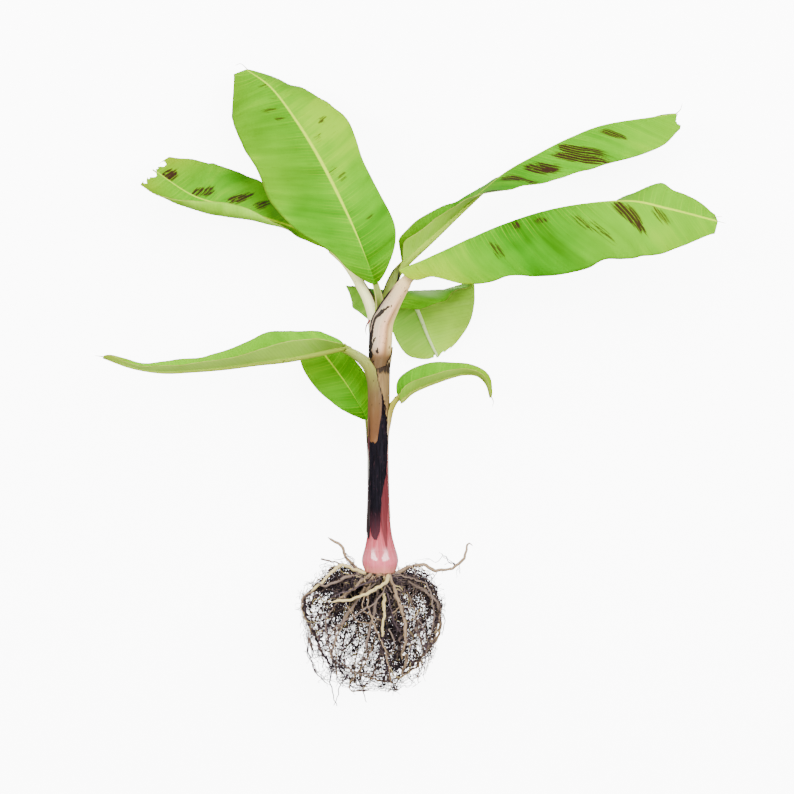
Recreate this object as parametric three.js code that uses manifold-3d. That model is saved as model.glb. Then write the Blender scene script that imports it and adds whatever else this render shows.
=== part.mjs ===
// A young banana plant with bare roots, lying on its back.
// Millimetres. +X is the plant's right hand, +Y runs up its stem, +Z is up from what it lies on. Sizes
// are worked out from the foot of the stem, on its centre line, and the whole is moved at the end.
import * as THREE from 'three';
import { mergeVertices } from 'three/addons/utils/BufferGeometryUtils.js';
import Module from 'manifold-3d';

const wasm = await Module();
wasm.setup();

// The gap that neighbours keep.
const CLEARANCE = 0.35;

// The stem: a rolled column of leaf sheaths over a swollen bulb, as [height, radius].
const STEM_SIDES = 20;
const STEM_PROFILE = [
  [-15, 5], [-12, 9.5], [-7, 12.5], [0, 14], [7, 18], [13, 17], [22, 13.3], [31, 12.1],
  [90, 11.9], [160, 11.6], [198, 10], [240, 8.5],
];

// Blades and midribs.
const BLADE_THICKNESS = 3.2;
const BLADE_STATIONS = 11;
const BLADE_STRIPS = 3;
const END_CROWDING = 0.6;
const BASE_ROUND = 0.1;
const TIP_ROUND = 0.06;
const LEAST_WIDTH = 2;
const RIB_SIDES = 6;
const RIB_STATIONS = 12;
const RIB_TIP_RADIUS = 1.7;

// Each leaf: the points that its midrib passes through, the share of it that is bare stalk, the
// stalk's radius at the stem and at the blade, and the two halves of its blade. A half's width, fold
// and curl are given at even steps from its base to its tip. The fold is the angle at which the half
// leaves the midrib, from level towards the upper face, and the curl is how far it has turned at its
// margin, both in degrees. The sweep slants the margins towards the tip.
const LEAVES = {
  leaf_right_front: {
    midrib: [
      [6, 226, 10], [12, 249, 14], [28, 276, 24], [56, 298, 34], [111, 322, 46],
      [166, 338, 52], [226, 344, 52], [267, 337, 46], [315, 326, 36],
    ],
    stalk: 0.17,
    stalkRadius: [7.8, 5.2],
    sweep: 0.25,
    stations: 15,
    halfA: {
      width: [16, 36, 42, 44, 44, 42, 38, 30, 28, 12, 6],
      fold: [-120, -120, -120, -115, -110, -105, -98, -80, -30, -15, -10],
      curl: [0],
    },
    halfB: {
      width: [14, 40, 47, 50, 59, 62, 63, 60, 54, 55, 53, 47, 35, 24, 11],
      fold: [20, 20, 15, 10, 0],
      curl: [-20, -20, -25, -25, -10],
    },
  },
  leaf_upper_left: {
    midrib: [
      [1, 236, 2], [-2, 262, 8], [-18, 306, 16], [-33, 340, 16],
      [-55, 384, 11], [-79, 424, 2], [-104, 458, -10], [-129, 478, -24],
    ],
    stalk: 0.12,
    stalkRadius: [3.6, 3.2],
    sweep: 0.15,
    halfA: { width: [14, 27, 50, 61, 58, 56, 48, 26], fold: [-6, -4], curl: [-6, -10] },
    halfB: { width: [18, 36, 36, 36, 43, 39, 32, 20], fold: [-4, -4, -10, -40], curl: [0, 0, -20, -60] },
  },
  leaf_upper_right: {
    midrib: [
      [4, 235, -4], [14, 279, -9], [30, 295, -12], [59, 324, -12], [89, 352, -10],
      [119, 375, -6], [151, 392, -3], [181, 406, -2], [217, 418, -4], [285, 431, -14],
    ],
    stalk: 0.17,
    stalkRadius: [5, 4],
    sweep: 0.15,
    halfA: {
      width: [16, 30, 33, 34, 36, 38, 38, 34, 20],
      fold: [0, -20, -65, -85, -95, -100, -100, -90, -60],
      curl: [0],
    },
    halfB: {
      width: [26, 30, 34, 36, 35, 36, 37, 30, 12],
      fold: [140, 130, 105, 62, 35, 18, 10, 10, 10],
      curl: [0, 0, 0, 0, 0, -5, -10, -10, 0],
    },
  },
  leaf_left_back: {
    midrib: [
      [-1, 238, -6], [-17, 270, -8], [-33, 291, -9], [-73, 316, -12],
      [-109, 334, -13], [-144, 345, -13], [-180, 356, -13], [-218, 381, -16],
    ],
    stalk: 0.3,
    stalkRadius: [6.2, 4.2],
    sweep: 0.15,
    strips: 5,
    tipRound: 0.02,
    halfA: {
      width: [8, 15, 24, 32, 38, 33, 30, 27],
      fold: [25, 20, 10, 5, 0, 0, 0, 10],
      curl: [0, 20, 120, 180, 180, 150, 100, 60],
    },
    halfB: { width: [6, 16, 30, 51, 55, 54, 44, 24], fold: [-50, -50, -45, -40], curl: [0] },
  },
  leaf_left_front: {
    midrib: [
      [-3, 183, 10], [-11, 199, 12], [-26, 210, 16], [-47, 207, 22], [-75, 200, 28],
      [-112, 195, 32], [-158, 189, 34], [-214, 187, 34], [-258, 200, 32],
    ],
    stalk: 0.16,
    stalkRadius: [5.5, 3.8],
    sweep: 0.1,
    halfA: {
      width: [20, 27, 28, 21, 17, 14, 11, 6, 3],
      fold: [95, 112, 118, 112, 110, 110, 112, 115, 120],
      curl: [10],
    },
    halfB: { width: [20, 30, 34, 23, 15, 13, 8, 3], fold: [-40], curl: [10] },
  },
  leaf_small_right: {
    midrib: [
      [8, 136, 2], [15, 153, 6], [30, 168, 10], [57, 179, 14], [81, 185, 16], [98, 180, 16], [105, 162, 14],
    ],
    stalk: 0.25,
    stalkRadius: [3.6, 2.8],
    sweep: 0.2,
    stations: 8,
    halfA: { width: [8, 17, 16, 8, 6, 3], fold: [-50], curl: [20] },
    halfB: { width: [12, 16, 16, 12, 9, 5], fold: [112, 105, 100, 80], curl: [20] },
  },
  leaf_small_left: {
    midrib: [
      [-9, 116, -8], [-13, 140, -12], [-28, 168, -20], [-42, 188, -26], [-56, 206, -32], [-68, 221, -38],
    ],
    stalk: 0.2,
    stalkRadius: [2.6, 2.4],
    sweep: 0.2,
    stations: 8,
    halfA: { width: [6, 18, 25, 27, 25, 18], fold: [-10], curl: [0] },
    halfB: { width: [6, 16, 21, 19, 13, 6], fold: [-10], curl: [0] },
  },
  leaf_back: {
    midrib: [
      [4, 222, -9], [8, 238, -15], [13, 252, -22], [20, 261, -31], [26, 266, -42],
      [31, 258, -51], [39, 241, -54], [47, 220, -52], [56, 201, -49],
    ],
    stalk: 0.22,
    stalkRadius: [5, 3.6],
    sweep: 0,
    across: [-1, 0, 0],
    halfA: { width: [16, 38, 54, 62, 50, 41, 34, 25, 10], fold: [-14, -6, -6, -10, -8, -2, 0], curl: [0] },
    halfB: {
      width: [16, 30, 42, 62, 66, 60, 50, 38, 16],
      fold: [2, 2, -7, -18, -22, -9, 0],
      curl: [-8, -8, -6, 0, 0],
    },
  },
};

// Roots: each one leaves the crown under the bulb, wanders, sinks, and is pressed back into the
// rounded block that the pot made of the whole mass. A quarter of the mass keeps to its own side of
// the stem. A laid root is one that stands out, so the points that it passes through are given.
const ROOTS = {
  roots_front: {
    facing: [0, 0, 1],
    count: 9,
    seed: 11,
    laid: [
      [[8, -6, 12], [5, -11, 32], [-13, -20, 46], [-30, -25, 52], [-45, -26, 53]],
      [[0, -7, 14], [-5, -36, 30], [-10, -56, 36], [-13, -73, 38]],
      [[3, -7, 14], [4, -36, 34], [2, -61, 40]],
      [[9, -6, 13], [18, -30, 28], [23, -45, 34], [24, -63, 38], [20, -82, 36]],
      [[-5, -6, 14], [-15, -18, 28], [-28, -37, 42], [-35, -48, 48]],
      [[-9, -5, 13], [-21, -14, 32], [-32, -20, 45], [-38, -24, 51]],
    ],
  },
  roots_right: {
    facing: [1, 0, 0],
    count: 8,
    seed: 23,
    laid: [
      [
        [13, -6, 2], [36, 4, 8], [52, -1, 10], [66, 0, 10],
        [77, 7, 10], [82, 17, 8], [83, 23, 6], [88, 22, 5],
      ],
      [[15, -4, 4], [27, -12, 12], [41, -19, 22], [50, -25, 28], [56, -37, 26]],
      [
        [15, -8, 0], [33, -18, 6], [49, -29, 14], [56, -46, 14],
        [56, -61, 12], [46, -75, 10], [36, -86, 8], [21, -96, 6],
      ],
    ],
  },
  roots_back: { facing: [0, 0, -1], count: 9, seed: 37, laid: [] },
  roots_left: {
    facing: [-1, 0, 0],
    count: 8,
    seed: 41,
    laid: [
      [[-13, -6, 1], [-24, 2, 4], [-31, 9, 5], [-36, 20, 6], [-43, 26, 6], [-50, 30, 6]],
      [[-12, -6, 5], [-36, 4, 18], [-48, -5, 26], [-64, -20, 28]],
      [[-15, -4, 4], [-34, -8, 20], [-50, -14, 30], [-58, -11, 32]],
      [
        [-15, -9, 0], [-38, -15, 4], [-64, -20, 10], [-72, -33, 12],
        [-69, -48, 10], [-61, -65, 8], [-53, -83, 6], [-42, -94, 4],
      ],
    ],
  },
};
const POT_CENTRE = new THREE.Vector3(-8.5, -56, 0);
const POT_HALF = new THREE.Vector3(66, 58, 60.3);
const POT_ROUNDNESS = 4;
const ROOT_STEP = 14;
const ROOT_SIDES = 4;
const ROOT_RADIUS = 2;
const ROOT_TIP_RADIUS = 1.2;
const ROOT_LENGTHS = [80, 150];
const ROOT_DIVES = [-12, 80];
const ROOT_FAN = 68;
const ROOT_SINK = 0.15;
const ROOT_WANDER = 0.55;
const ROOT_CIRCLING = 0.6;
const QUARTER_MARGIN = 4.4;
const GOLDEN_SHARE = 0.618;

// The root crown: a low ring of wood round the underside of the bulb, in quarters.
const CROWN = { top: -3, bottom: -11, thickness: 3, halfAngle: 42 };

const COLOURS = {
  pseudostem: { color: 0xc98a86, roughness: 0.45, metalness: 0 },
  leaf: { color: 0x6fb52c, roughness: 0.5, metalness: 0 },
  roots: { color: 0xb39a72, roughness: 0.85, metalness: 0 },
};

const { clamp, degToRad, lerp } = THREE.MathUtils;
const towardsViewer = new THREE.Vector3(0, 0, 1);
const upStem = new THREE.Vector3(0, 1, 0);

function toSolid(geometry) {
  geometry.deleteAttribute('normal');
  geometry.deleteAttribute('uv');
  const merged = mergeVertices(geometry, 1e-4);
  const vertProperties = new Float32Array(merged.attributes.position.array);
  const triVerts = new Uint32Array(merged.index.array);
  return new wasm.Manifold(new wasm.Mesh({ numProp: 3, vertProperties, triVerts }));
}

function toGeometry(solid) {
  const { vertProperties, triVerts } = solid.getMesh();
  const geometry = new THREE.BufferGeometry();
  geometry.setAttribute('position', new THREE.BufferAttribute(new Float32Array(vertProperties), 3));
  geometry.setIndex(new THREE.BufferAttribute(new Uint32Array(triVerts), 1));
  geometry.computeVertexNormals();
  return geometry;
}

function largestPiece(solid) {
  return solid.decompose().sort((a, b) => b.volume() - a.volume())[0];
}

// Moves each vertex of a geometry to the place that a function gives for it.
function reshape(geometry, place) {
  const position = geometry.attributes.position;
  const vertex = new THREE.Vector3();
  for (let i = 0; i < position.count; i += 1) {
    const { x, y, z } = place(vertex.fromBufferAttribute(position, i));
    position.setXYZ(i, x, y, z);
  }
  return geometry;
}

function smoothCurve(points) {
  const vectors = points.map((point) => new THREE.Vector3(...point));
  return new THREE.CatmullRomCurve3(vectors, false, 'catmullrom', 0.5);
}

// A measure given at even steps, read smoothly at any share of the way.
function evenSteps(values) {
  const curve = new THREE.SplineCurve(values.map((value, i) => new THREE.Vector2(i, value)));
  return (share) => curve.getPoint(share).y;
}

// A round limb along a curve, with its radius at each share of the curve's length.
function limbSolid(curve, radiusAt, sides, stations) {
  const frames = curve.computeFrenetFrames(stations, false);
  const cylinder = new THREE.CylinderGeometry(1, 1, 1, sides, stations);
  return toSolid(reshape(cylinder, ({ x, y, z }) => {
    const share = y + 0.5;
    const station = Math.round(share * stations);
    const radius = radiusAt(share);
    return curve.getPointAt(share)
      .addScaledVector(frames.binormals[station], x * radius)
      .addScaledVector(frames.normals[station], z * radius);
  }));
}

// The stem, turned about its centre line, and larger all round by an extra.
function stemSolid(extra = 0) {
  const [foot] = STEM_PROFILE[0];
  const [top] = STEM_PROFILE[STEM_PROFILE.length - 1];
  const outline = [
    new THREE.Vector2(0, foot - extra),
    ...STEM_PROFILE.map(([height, radius]) => {
      const spread = height === foot ? -extra : 0;
      const rise = height === top ? extra : 0;
      return new THREE.Vector2(radius + extra, height + spread + rise);
    }),
    new THREE.Vector2(0, top + extra),
  ];
  return toSolid(new THREE.LatheGeometry(outline, STEM_SIDES));
}

function stemRadiusAt(height) {
  const above = STEM_PROFILE.findIndex(([level]) => level >= height);
  const [lowLevel, lowRadius] = STEM_PROFILE[above - 1];
  const [highLevel, highRadius] = STEM_PROFILE[above];
  return lerp(lowRadius, highRadius, (height - lowLevel) / (highLevel - lowLevel));
}

// A half blade's own functions of the share of the way along it.
function prepareHalf({ width, fold, curl }, tipRound) {
  const [widthAt, foldAt, curlAt] = [width, fold, curl].map(evenSteps);
  const roundedWidth = (share) => {
    const fromBase = 1 - Math.min(share / BASE_ROUND, 1);
    const fromTip = 1 - Math.min((1 - share) / tipRound, 1);
    return Math.max(widthAt(share) * Math.sqrt((1 - fromBase ** 2) * (1 - fromTip ** 2)), LEAST_WIDTH);
  };
  return { widthAt: roundedWidth, foldAt: (s) => degToRad(foldAt(s)), curlAt: (s) => degToRad(curlAt(s)) };
}

function prepareLeaf(leaf) {
  const tipRound = leaf.tipRound ?? TIP_ROUND;
  return {
    ...leaf,
    curve: smoothCurve(leaf.midrib),
    across: leaf.across && new THREE.Vector3(...leaf.across),
    halves: [
      { side: 1, ...prepareHalf(leaf.halfA, tipRound) },
      { side: -1, ...prepareHalf(leaf.halfB, tipRound) },
    ],
  };
}

// A point of a blade's middle surface, at shares of the way along the blade and across one half. The
// section of a half is an arc, so the point lies at the end of a chord.
function bladePoint(leaf, half, along, across) {
  const share = lerp(leaf.stalk, 1, along);
  const tangent = leaf.curve.getTangentAt(share);
  const right = leaf.across ? leaf.across.clone() : towardsViewer.clone().cross(tangent);
  right.addScaledVector(tangent, -right.dot(tangent)).normalize();
  const face = tangent.clone().cross(right);
  const width = half.widthAt(along);
  const turn = (half.curlAt(along) * across) / 2;
  const angle = half.foldAt(along) + turn;
  const chord = width * across * (Math.abs(turn) > 1e-6 ? Math.sin(turn) / turn : 1);
  return leaf.curve.getPointAt(share)
    .addScaledVector(right, half.side * chord * Math.cos(angle))
    .addScaledVector(face, chord * Math.sin(angle))
    .addScaledVector(tangent, leaf.sweep * width * across ** 2 * Math.sqrt(1 - along));
}

// One half of a blade: a thin panel bent to its surface, with its stations crowded at the ends.
function halfSolid(leaf, half, thickness) {
  const stations = leaf.stations ?? BLADE_STATIONS;
  const panel = new THREE.BoxGeometry(1, 1, 1, stations, leaf.strips ?? BLADE_STRIPS, 1);
  const nudge = 0.01;
  return toSolid(reshape(panel, ({ x, y, z }) => {
    const even = x + 0.5;
    const along = lerp(even, (1 - Math.cos(Math.PI * even)) / 2, END_CROWDING);
    const across = y + 0.5;
    const before = bladePoint(leaf, half, Math.max(along - nudge, 0), across);
    const after = bladePoint(leaf, half, Math.min(along + nudge, 1), across);
    const inner = bladePoint(leaf, half, along, Math.max(across - nudge, 0));
    const outer = bladePoint(leaf, half, along, Math.min(across + nudge, 1));
    const normal = after.sub(before).cross(outer.sub(inner)).normalize();
    return bladePoint(leaf, half, along, across).addScaledVector(normal, z * thickness);
  }));
}

// A leaf: its two half blades joined by the midrib, which runs back down the stalk to the stem. With
// an extra it is the room that the leaf needs.
function leafSolid(leaf, extra = 0) {
  const [atStem, atBlade] = leaf.stalkRadius;
  const ribRadius = (share) => extra + (share < leaf.stalk
    ? lerp(atStem, atBlade, share / leaf.stalk)
    : lerp(atBlade, RIB_TIP_RADIUS, (share - leaf.stalk) / (1 - leaf.stalk)));
  const rib = limbSolid(leaf.curve, ribRadius, RIB_SIDES, RIB_STATIONS);
  const halves = leaf.halves.map((half) => halfSolid(leaf, half, BLADE_THICKNESS + 2 * extra));
  return rib.add(halves[0]).add(halves[1]);
}

// A repeatable stream of chance numbers from 0 to 1.
function chance(seed) {
  let state = seed;
  return () => {
    state = (1664525 * state + 1013904223) % 4294967296;
    return state / 4294967296;
  };
}

function pressIntoPot(point) {
  const reach = point.clone().sub(POT_CENTRE).divide(POT_HALF);
  const sum = [reach.x, reach.y, reach.z].reduce((total, r) => total + Math.abs(r) ** POT_ROUNDNESS, 0);
  const size = Math.max(sum ** (1 / POT_ROUNDNESS), 1);
  return point.sub(POT_CENTRE).divideScalar(size).add(POT_CENTRE);
}

function keepInQuarter(point, facing, sideways) {
  const out = Math.max(point.dot(facing), 2 * QUARTER_MARGIN);
  const side = clamp(point.dot(sideways), QUARTER_MARGIN - out, out - QUARTER_MARGIN);
  return facing.clone().multiplyScalar(out).addScaledVector(sideways, side).setY(point.y);
}

function rootPath(facing, turn, dive, length, random) {
  const sideways = upStem.clone().cross(facing);
  const heading = facing.clone().applyAxisAngle(upStem, turn);
  const height = (CROWN.top + CROWN.bottom) / 2;
  const points = [heading.clone().multiplyScalar(stemRadiusAt(height) + CROWN.thickness / 2).setY(height)];
  const direction = heading.clone().multiplyScalar(Math.cos(dive)).setY(-Math.sin(dive));
  const circling = sideways.clone().multiplyScalar(ROOT_CIRCLING * (random() - 0.5));
  for (let run = 0; run < length; run += ROOT_STEP) {
    const last = points[points.length - 1];
    direction.x += ROOT_WANDER * (random() - 0.5);
    direction.y += ROOT_WANDER * (random() - 0.5) - ROOT_SINK;
    direction.z += ROOT_WANDER * (random() - 0.5);
    const next = last.clone().addScaledVector(direction.add(circling).normalize(), ROOT_STEP);
    const kept = keepInQuarter(pressIntoPot(next), facing, sideways);
    direction.copy(kept).sub(last).normalize();
    points.push(kept);
  }
  return points.map((point) => point.toArray());
}

// A quarter of the root crown, which hugs the bulb.
function crownSolid(facing) {
  const sideways = upStem.clone().cross(facing);
  const block = new THREE.BoxGeometry(1, 1, 1, 5, 4, 1);
  return toSolid(reshape(block, ({ x, y, z }) => {
    const angle = 2 * x * degToRad(CROWN.halfAngle);
    const height = lerp(CROWN.bottom, CROWN.top, y + 0.5);
    const radius = stemRadiusAt(height) + CLEARANCE + CROWN.thickness * (z + 0.5);
    return facing.clone().multiplyScalar(radius * Math.cos(angle))
      .addScaledVector(sideways, radius * Math.sin(angle))
      .setY(height);
  }));
}

// A quarter of the root mass.
function rootMassSolid({ facing, count, seed, laid }) {
  const random = chance(seed);
  const direction = new THREE.Vector3(...facing);
  const paths = [...laid];
  for (let i = 0; i < count; i += 1) {
    const turn = degToRad(ROOT_FAN * ((i * GOLDEN_SHARE) % 1 - 0.5));
    const dive = degToRad(lerp(...ROOT_DIVES, i / (count - 1)));
    paths.push(rootPath(direction, turn, dive, lerp(...ROOT_LENGTHS, random()), random));
  }
  const radiusAt = (share) => lerp(ROOT_RADIUS, ROOT_TIP_RADIUS, share);
  const tubes = paths.map((path) => limbSolid(smoothCurve(path), radiusAt, ROOT_SIDES, path.length));
  return tubes.reduce((mass, tube) => mass.add(tube), crownSolid(direction));
}

const group = new THREE.Group();

function place(name, solid, finish) {
  const mesh = new THREE.Mesh(toGeometry(solid), new THREE.MeshStandardMaterial(finish));
  mesh.name = name;
  group.add(mesh);
}

const stem = stemSolid();
const stemRoom = stemSolid(CLEARANCE);
place('pseudostem', stem, COLOURS.pseudostem);

// Each leaf is cut clear of the stem and of the leaves before it.
const taken = [stemRoom];
for (const [name, measures] of Object.entries(LEAVES)) {
  const leaf = prepareLeaf(measures);
  const cut = taken.reduce((solid, room) => solid.subtract(room), leafSolid(leaf));
  place(name, largestPiece(cut), COLOURS.leaf);
  taken.push(leafSolid(leaf, CLEARANCE));
}

for (const [name, mass] of Object.entries(ROOTS)) {
  place(name, largestPiece(rootMassSolid(mass).subtract(stemRoom)), COLOURS.roots);
}

// The origin is under the middle of the plant, level with its lowest point.
const reach = new THREE.Box3().setFromObject(group);
const middle = reach.getCenter(new THREE.Vector3());
group.position.set(-middle.x, -middle.y, -reach.min.z);

export default group;
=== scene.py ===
# %% [markdown]
# A young banana plant, lifted out of its pot, lies on its back on a pale floor, and the camera looks
# straight down on it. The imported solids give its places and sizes. This file grows the finer plant
# on them: thin leaf blades with their veins, rolled stalks and sheaths, a waxy bulb, and the roots.
# Each step says what the real thing is, and then makes it.

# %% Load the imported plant
import math

import bmesh
import bpy
import numpy as np
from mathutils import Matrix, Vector, noise


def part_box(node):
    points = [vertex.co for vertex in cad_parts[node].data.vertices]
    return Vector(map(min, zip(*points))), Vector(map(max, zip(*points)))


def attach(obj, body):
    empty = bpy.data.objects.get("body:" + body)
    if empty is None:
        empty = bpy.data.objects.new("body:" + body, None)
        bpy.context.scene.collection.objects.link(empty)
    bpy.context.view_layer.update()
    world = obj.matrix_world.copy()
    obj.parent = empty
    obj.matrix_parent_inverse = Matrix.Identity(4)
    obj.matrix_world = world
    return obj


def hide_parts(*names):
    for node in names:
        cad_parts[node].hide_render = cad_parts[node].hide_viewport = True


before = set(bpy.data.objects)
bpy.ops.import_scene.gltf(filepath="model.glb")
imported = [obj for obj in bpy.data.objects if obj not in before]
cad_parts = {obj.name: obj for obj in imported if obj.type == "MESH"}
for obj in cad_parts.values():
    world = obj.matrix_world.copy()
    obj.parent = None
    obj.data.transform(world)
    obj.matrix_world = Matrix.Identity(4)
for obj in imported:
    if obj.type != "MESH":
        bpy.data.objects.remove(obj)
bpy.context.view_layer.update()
print("nodes", sorted(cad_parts))

# %% [markdown]
# Sizes are in millimetres on the plant's own axes, as a botanist would note them: x to its right, y up
# its stem and z towards the viewer, all from the foot of the stem on its centre line. Where that foot
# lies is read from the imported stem, whose lowest ring is a known way below it.

# %% Place the plant's own axes
MM = 0.001
STEM_TAIL = 15
stem_low, stem_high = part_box("pseudostem")
FOOT = Vector((
    (stem_low.x + stem_high.x) / 2,
    stem_low.y + STEM_TAIL * MM,
    (stem_low.z + stem_high.z) / 2,
))


def to_world(points):
    return np.asarray(points, float) * MM + np.array(FOOT)


print("foot of the stem, mm", [round(value / MM, 1) for value in FOOT])

# %% [markdown]
# The camera hangs above the plant with a long lens, so that near and far leaves keep nearly the same
# scale. The lens is worked out from the width that it has to see at the stem.

# %% Set up the camera
VIEW_CENTRE = (16.15, 162.45)
VIEW_HEIGHT = 1780
SENSOR = 36
VIEW_WIDTH = 754.3

camera_data = bpy.data.cameras.new("camera")
camera_data.sensor_width = SENSOR
camera_data.lens = SENSOR * VIEW_HEIGHT / VIEW_WIDTH
camera = bpy.data.objects.new("camera", camera_data)
camera.location = to_world((*VIEW_CENTRE, VIEW_HEIGHT))
bpy.context.scene.collection.objects.link(camera)
bpy.context.scene.camera = camera
print("lens mm", round(camera_data.lens, 2))

# %% [markdown]
# Two large soft boxes stand to the left and right of the plant, and they give the two pale windows
# that shine on the bulb. A third one beyond the leaf tips lights the blades, and is kept out of the
# shine. A white surround fills the shadows, as a white studio does.

# %% Light it
SURROUND = 0.8


def soft_box(name, place, width, height, watts, mirrored=True):
    """An area light, in metres, that faces the middle of the plant and may show in the bulb's shine."""
    data = bpy.data.lights.new(name, "AREA")
    data.shape = "RECTANGLE"
    data.size = width
    data.size_y = height
    data.energy = watts
    light = bpy.data.objects.new(name, data)
    light.location = place
    light.rotation_euler = (-Vector(place)).to_track_quat("-Z", "Y").to_euler()
    light.visible_glossy = mirrored
    bpy.context.scene.collection.objects.link(light)


soft_box("box_left", (-1.3, 0.4, 1.5), 0.55, 1.7, 50)
soft_box("box_right", (1.1, 0.4, 1.55), 0.8, 1.5, 54)
soft_box("box_top", (0.1, 1.3, 1.7), 1.2, 1.2, 38, mirrored=False)
world = bpy.data.worlds.new("surround")
world.use_nodes = True
surround = next(node for node in world.node_tree.nodes if node.type == "BACKGROUND")
surround.inputs["Color"].default_value = (1, 1, 1, 1)
surround.inputs["Strength"].default_value = SURROUND
bpy.context.scene.world = world
print("lights", [light.name for light in bpy.data.lights])

# %% [markdown]
# Every finish is a tree of nodes, and a few helpers keep those trees short to read. One turns a colour
# as it is seen on a screen into the linear colour that the renderer works in. Another adds any node
# with its settings and links, and gives back its output, ready to be the next node's input. Inputs
# are listed in the order that Blender's editor shows them, or named. The dicts are settings that many
# nodes share: three sums, a map that eases between its limits, and a mix of colours.

# %% Helpers for nodes
PRODUCT = {"operation": "MULTIPLY"}
SUM = {"operation": "ADD"}
LESS = {"operation": "SUBTRACT"}
EASED = {"interpolation_type": "SMOOTHSTEP"}
COLOURS = {"data_type": "RGBA"}


def linear(hex_colour):
    """An sRGB hex colour as linear red, green, blue and alpha."""
    channels = [int(hex_colour[i:i + 2], 16) / 255 for i in (1, 3, 5)]
    return (*[c / 12.92 if c <= 0.04045 else ((c + 0.055) / 1.055) ** 2.4 for c in channels], 1)


def add(tree, kind, *inputs, take=None, stops=(), **named):
    """Adds a node. Inputs are numbers, hex colours, vectors or outputs. Of the named values, those with a
    capital are inputs too, and the rest are settings. Stops are the places and colours of a ramp."""
    node = tree.nodes.new("ShaderNode" + kind)
    for key in filter(str.islower, named):
        setattr(node, key, named[key])
    filled = [*zip([socket for socket in node.inputs if socket.enabled], inputs)]
    filled += [(node.inputs[key], value) for key, value in named.items() if not key.islower()]
    for socket, value in filled:
        if isinstance(value, bpy.types.NodeSocket):
            tree.links.new(value, socket)
        else:
            socket.default_value = linear(value) if isinstance(value, str) else value
    if stops:
        elements = node.color_ramp.elements
        while len(elements) < len(stops):
            elements.new(0.5)
        for element, (place, colour) in zip(elements, stops):
            element.position = place
            element.color = linear(colour)
    if isinstance(take, tuple):
        return [node.outputs[name] for name in take]
    return node.outputs[take] if take else next(socket for socket in node.outputs if socket.enabled)


print("node helper ready")

# %% [markdown]
# A finish is then painted as a real one grows: a ground colour first, and coats over it, each let
# through by a pattern or by a number that the mesh carries.


# %% Helpers for materials
def new_finish(name, **settings):
    """An empty material and its main shader, with the values that are the same all over it."""
    material = bpy.data.materials.new(name)
    material.use_nodes = True
    tree = material.node_tree
    shader = next(node for node in tree.nodes if node.type == "BSDF_PRINCIPLED")
    for key, value in settings.items():
        shader.inputs[key.replace("_", " ")].default_value = value
    return material, tree, shader


def feed(shader, **outputs):
    """Links outputs to the main shader, each by the name of its socket."""
    for key, output in outputs.items():
        shader.id_data.links.new(output, shader.inputs[key.replace("_", " ")])


def paint(tree, colour, *coats):
    """Lays coats over a colour. A coat is its colour and its share, or its colour, a value, the two limits
    between which that value brings it up, and the shares at both."""
    for coat, share, *limits in coats:
        if limits:
            share = add(tree, "MapRange", share, *limits, **EASED)
        colour = add(tree, "Mix", share, colour, coat, **COLOURS)
    return colour


print("material helpers ready")

# %% [markdown]
# The plant's lines are smooth curves through a few points. A curve is read by its share of length, so
# that leaves and roots are divided evenly. Widths and folds are read from a few values at even steps.


# %% Helpers for curves
def bend_through(before, start, end, after, share):
    """The smooth way from start to end that also heeds the points on either side."""
    into, out = (end - before) / 2, (after - start) / 2
    cubic = (2 * start - 2 * end + into + out) * share ** 3
    square = (-3 * start + 3 * end - 2 * into - out) * share ** 2
    return cubic + square + into * share + start


CURVE_SAMPLES = 1500


def smooth_curve(points):
    """A function that gives places and directions at shares of the curve's length, and the length.
    Values after x, y and z, such as a radius, are carried along."""
    knots = np.array(points, float)
    ends = np.vstack([2 * knots[0] - knots[1], knots, 2 * knots[-1] - knots[-2]])
    step = np.linspace(0, len(knots) - 1, CURVE_SAMPLES)
    i = np.minimum(step.astype(int), len(knots) - 2)
    run = bend_through(ends[i], ends[i + 1], ends[i + 2], ends[i + 3], (step - i)[:, None])
    lengths = np.concatenate([[0], np.cumsum(np.linalg.norm(np.diff(run[:, :3], axis=0), axis=1))])
    headings = np.gradient(run[:, :3], lengths, axis=0)
    headings /= np.linalg.norm(headings, axis=1)[:, None]

    def read(shares):
        at = np.clip(shares, 0, 1) * lengths[-1]
        place = np.stack([np.interp(at, lengths, column) for column in run.T], -1)
        heading = np.stack([np.interp(at, lengths, column) for column in headings.T], -1)
        return place, heading

    return read, lengths[-1]


print("curve helpers ready")


# %% Helpers for measures
def even_steps(values):
    """A function that reads a measure, given at even steps, smoothly at any shares of the way."""
    steps = np.array(values, float)
    last = len(steps) - 1

    def read(shares):
        place = np.clip(shares, 0, 1) * last
        i = np.minimum(place.astype(int), max(last - 1, 0))
        around = [steps[np.clip(i + k, 0, last)] for k in (-1, 0, 1, 2)]
        return bend_through(*around, place - i)

    return read


def unit(vectors):
    return vectors / np.linalg.norm(vectors, axis=-1, keepdims=True)


def ease(low, high, values):
    """0 below low, 1 above high, and eased between them."""
    share = np.clip((values - low) / (high - low), 0, 1)
    return share * share * (3 - 2 * share)


print("measure helpers ready")

# %% [markdown]
# A sheet, such as a blade or a sheath, starts as a flat grid that bmesh makes. Each of its points is
# then carried to its place by a function, and keeps some numbers that its finish reads later: how far
# it is along and across, or how near a margin. A Solidify modifier gives the sheet its thickness, with
# one finish above, the next below and a third round the rim.


# %% Helpers for pieces
def grid_sheet(bm, rows, columns, slot):
    """A flat grid. Returns its vertices, with shares along from 0 to 1 and across from -1 to 1."""
    made = bmesh.ops.create_grid(bm, x_segments=rows, y_segments=columns, size=1)["verts"]
    for face in {face for vertex in made for face in vertex.link_faces}:
        face.material_index = slot
        face.smooth = True
    flat = np.array([vertex.co for vertex in made])
    return made, (flat[:, 0] + 1) / 2, flat[:, 1]


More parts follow.
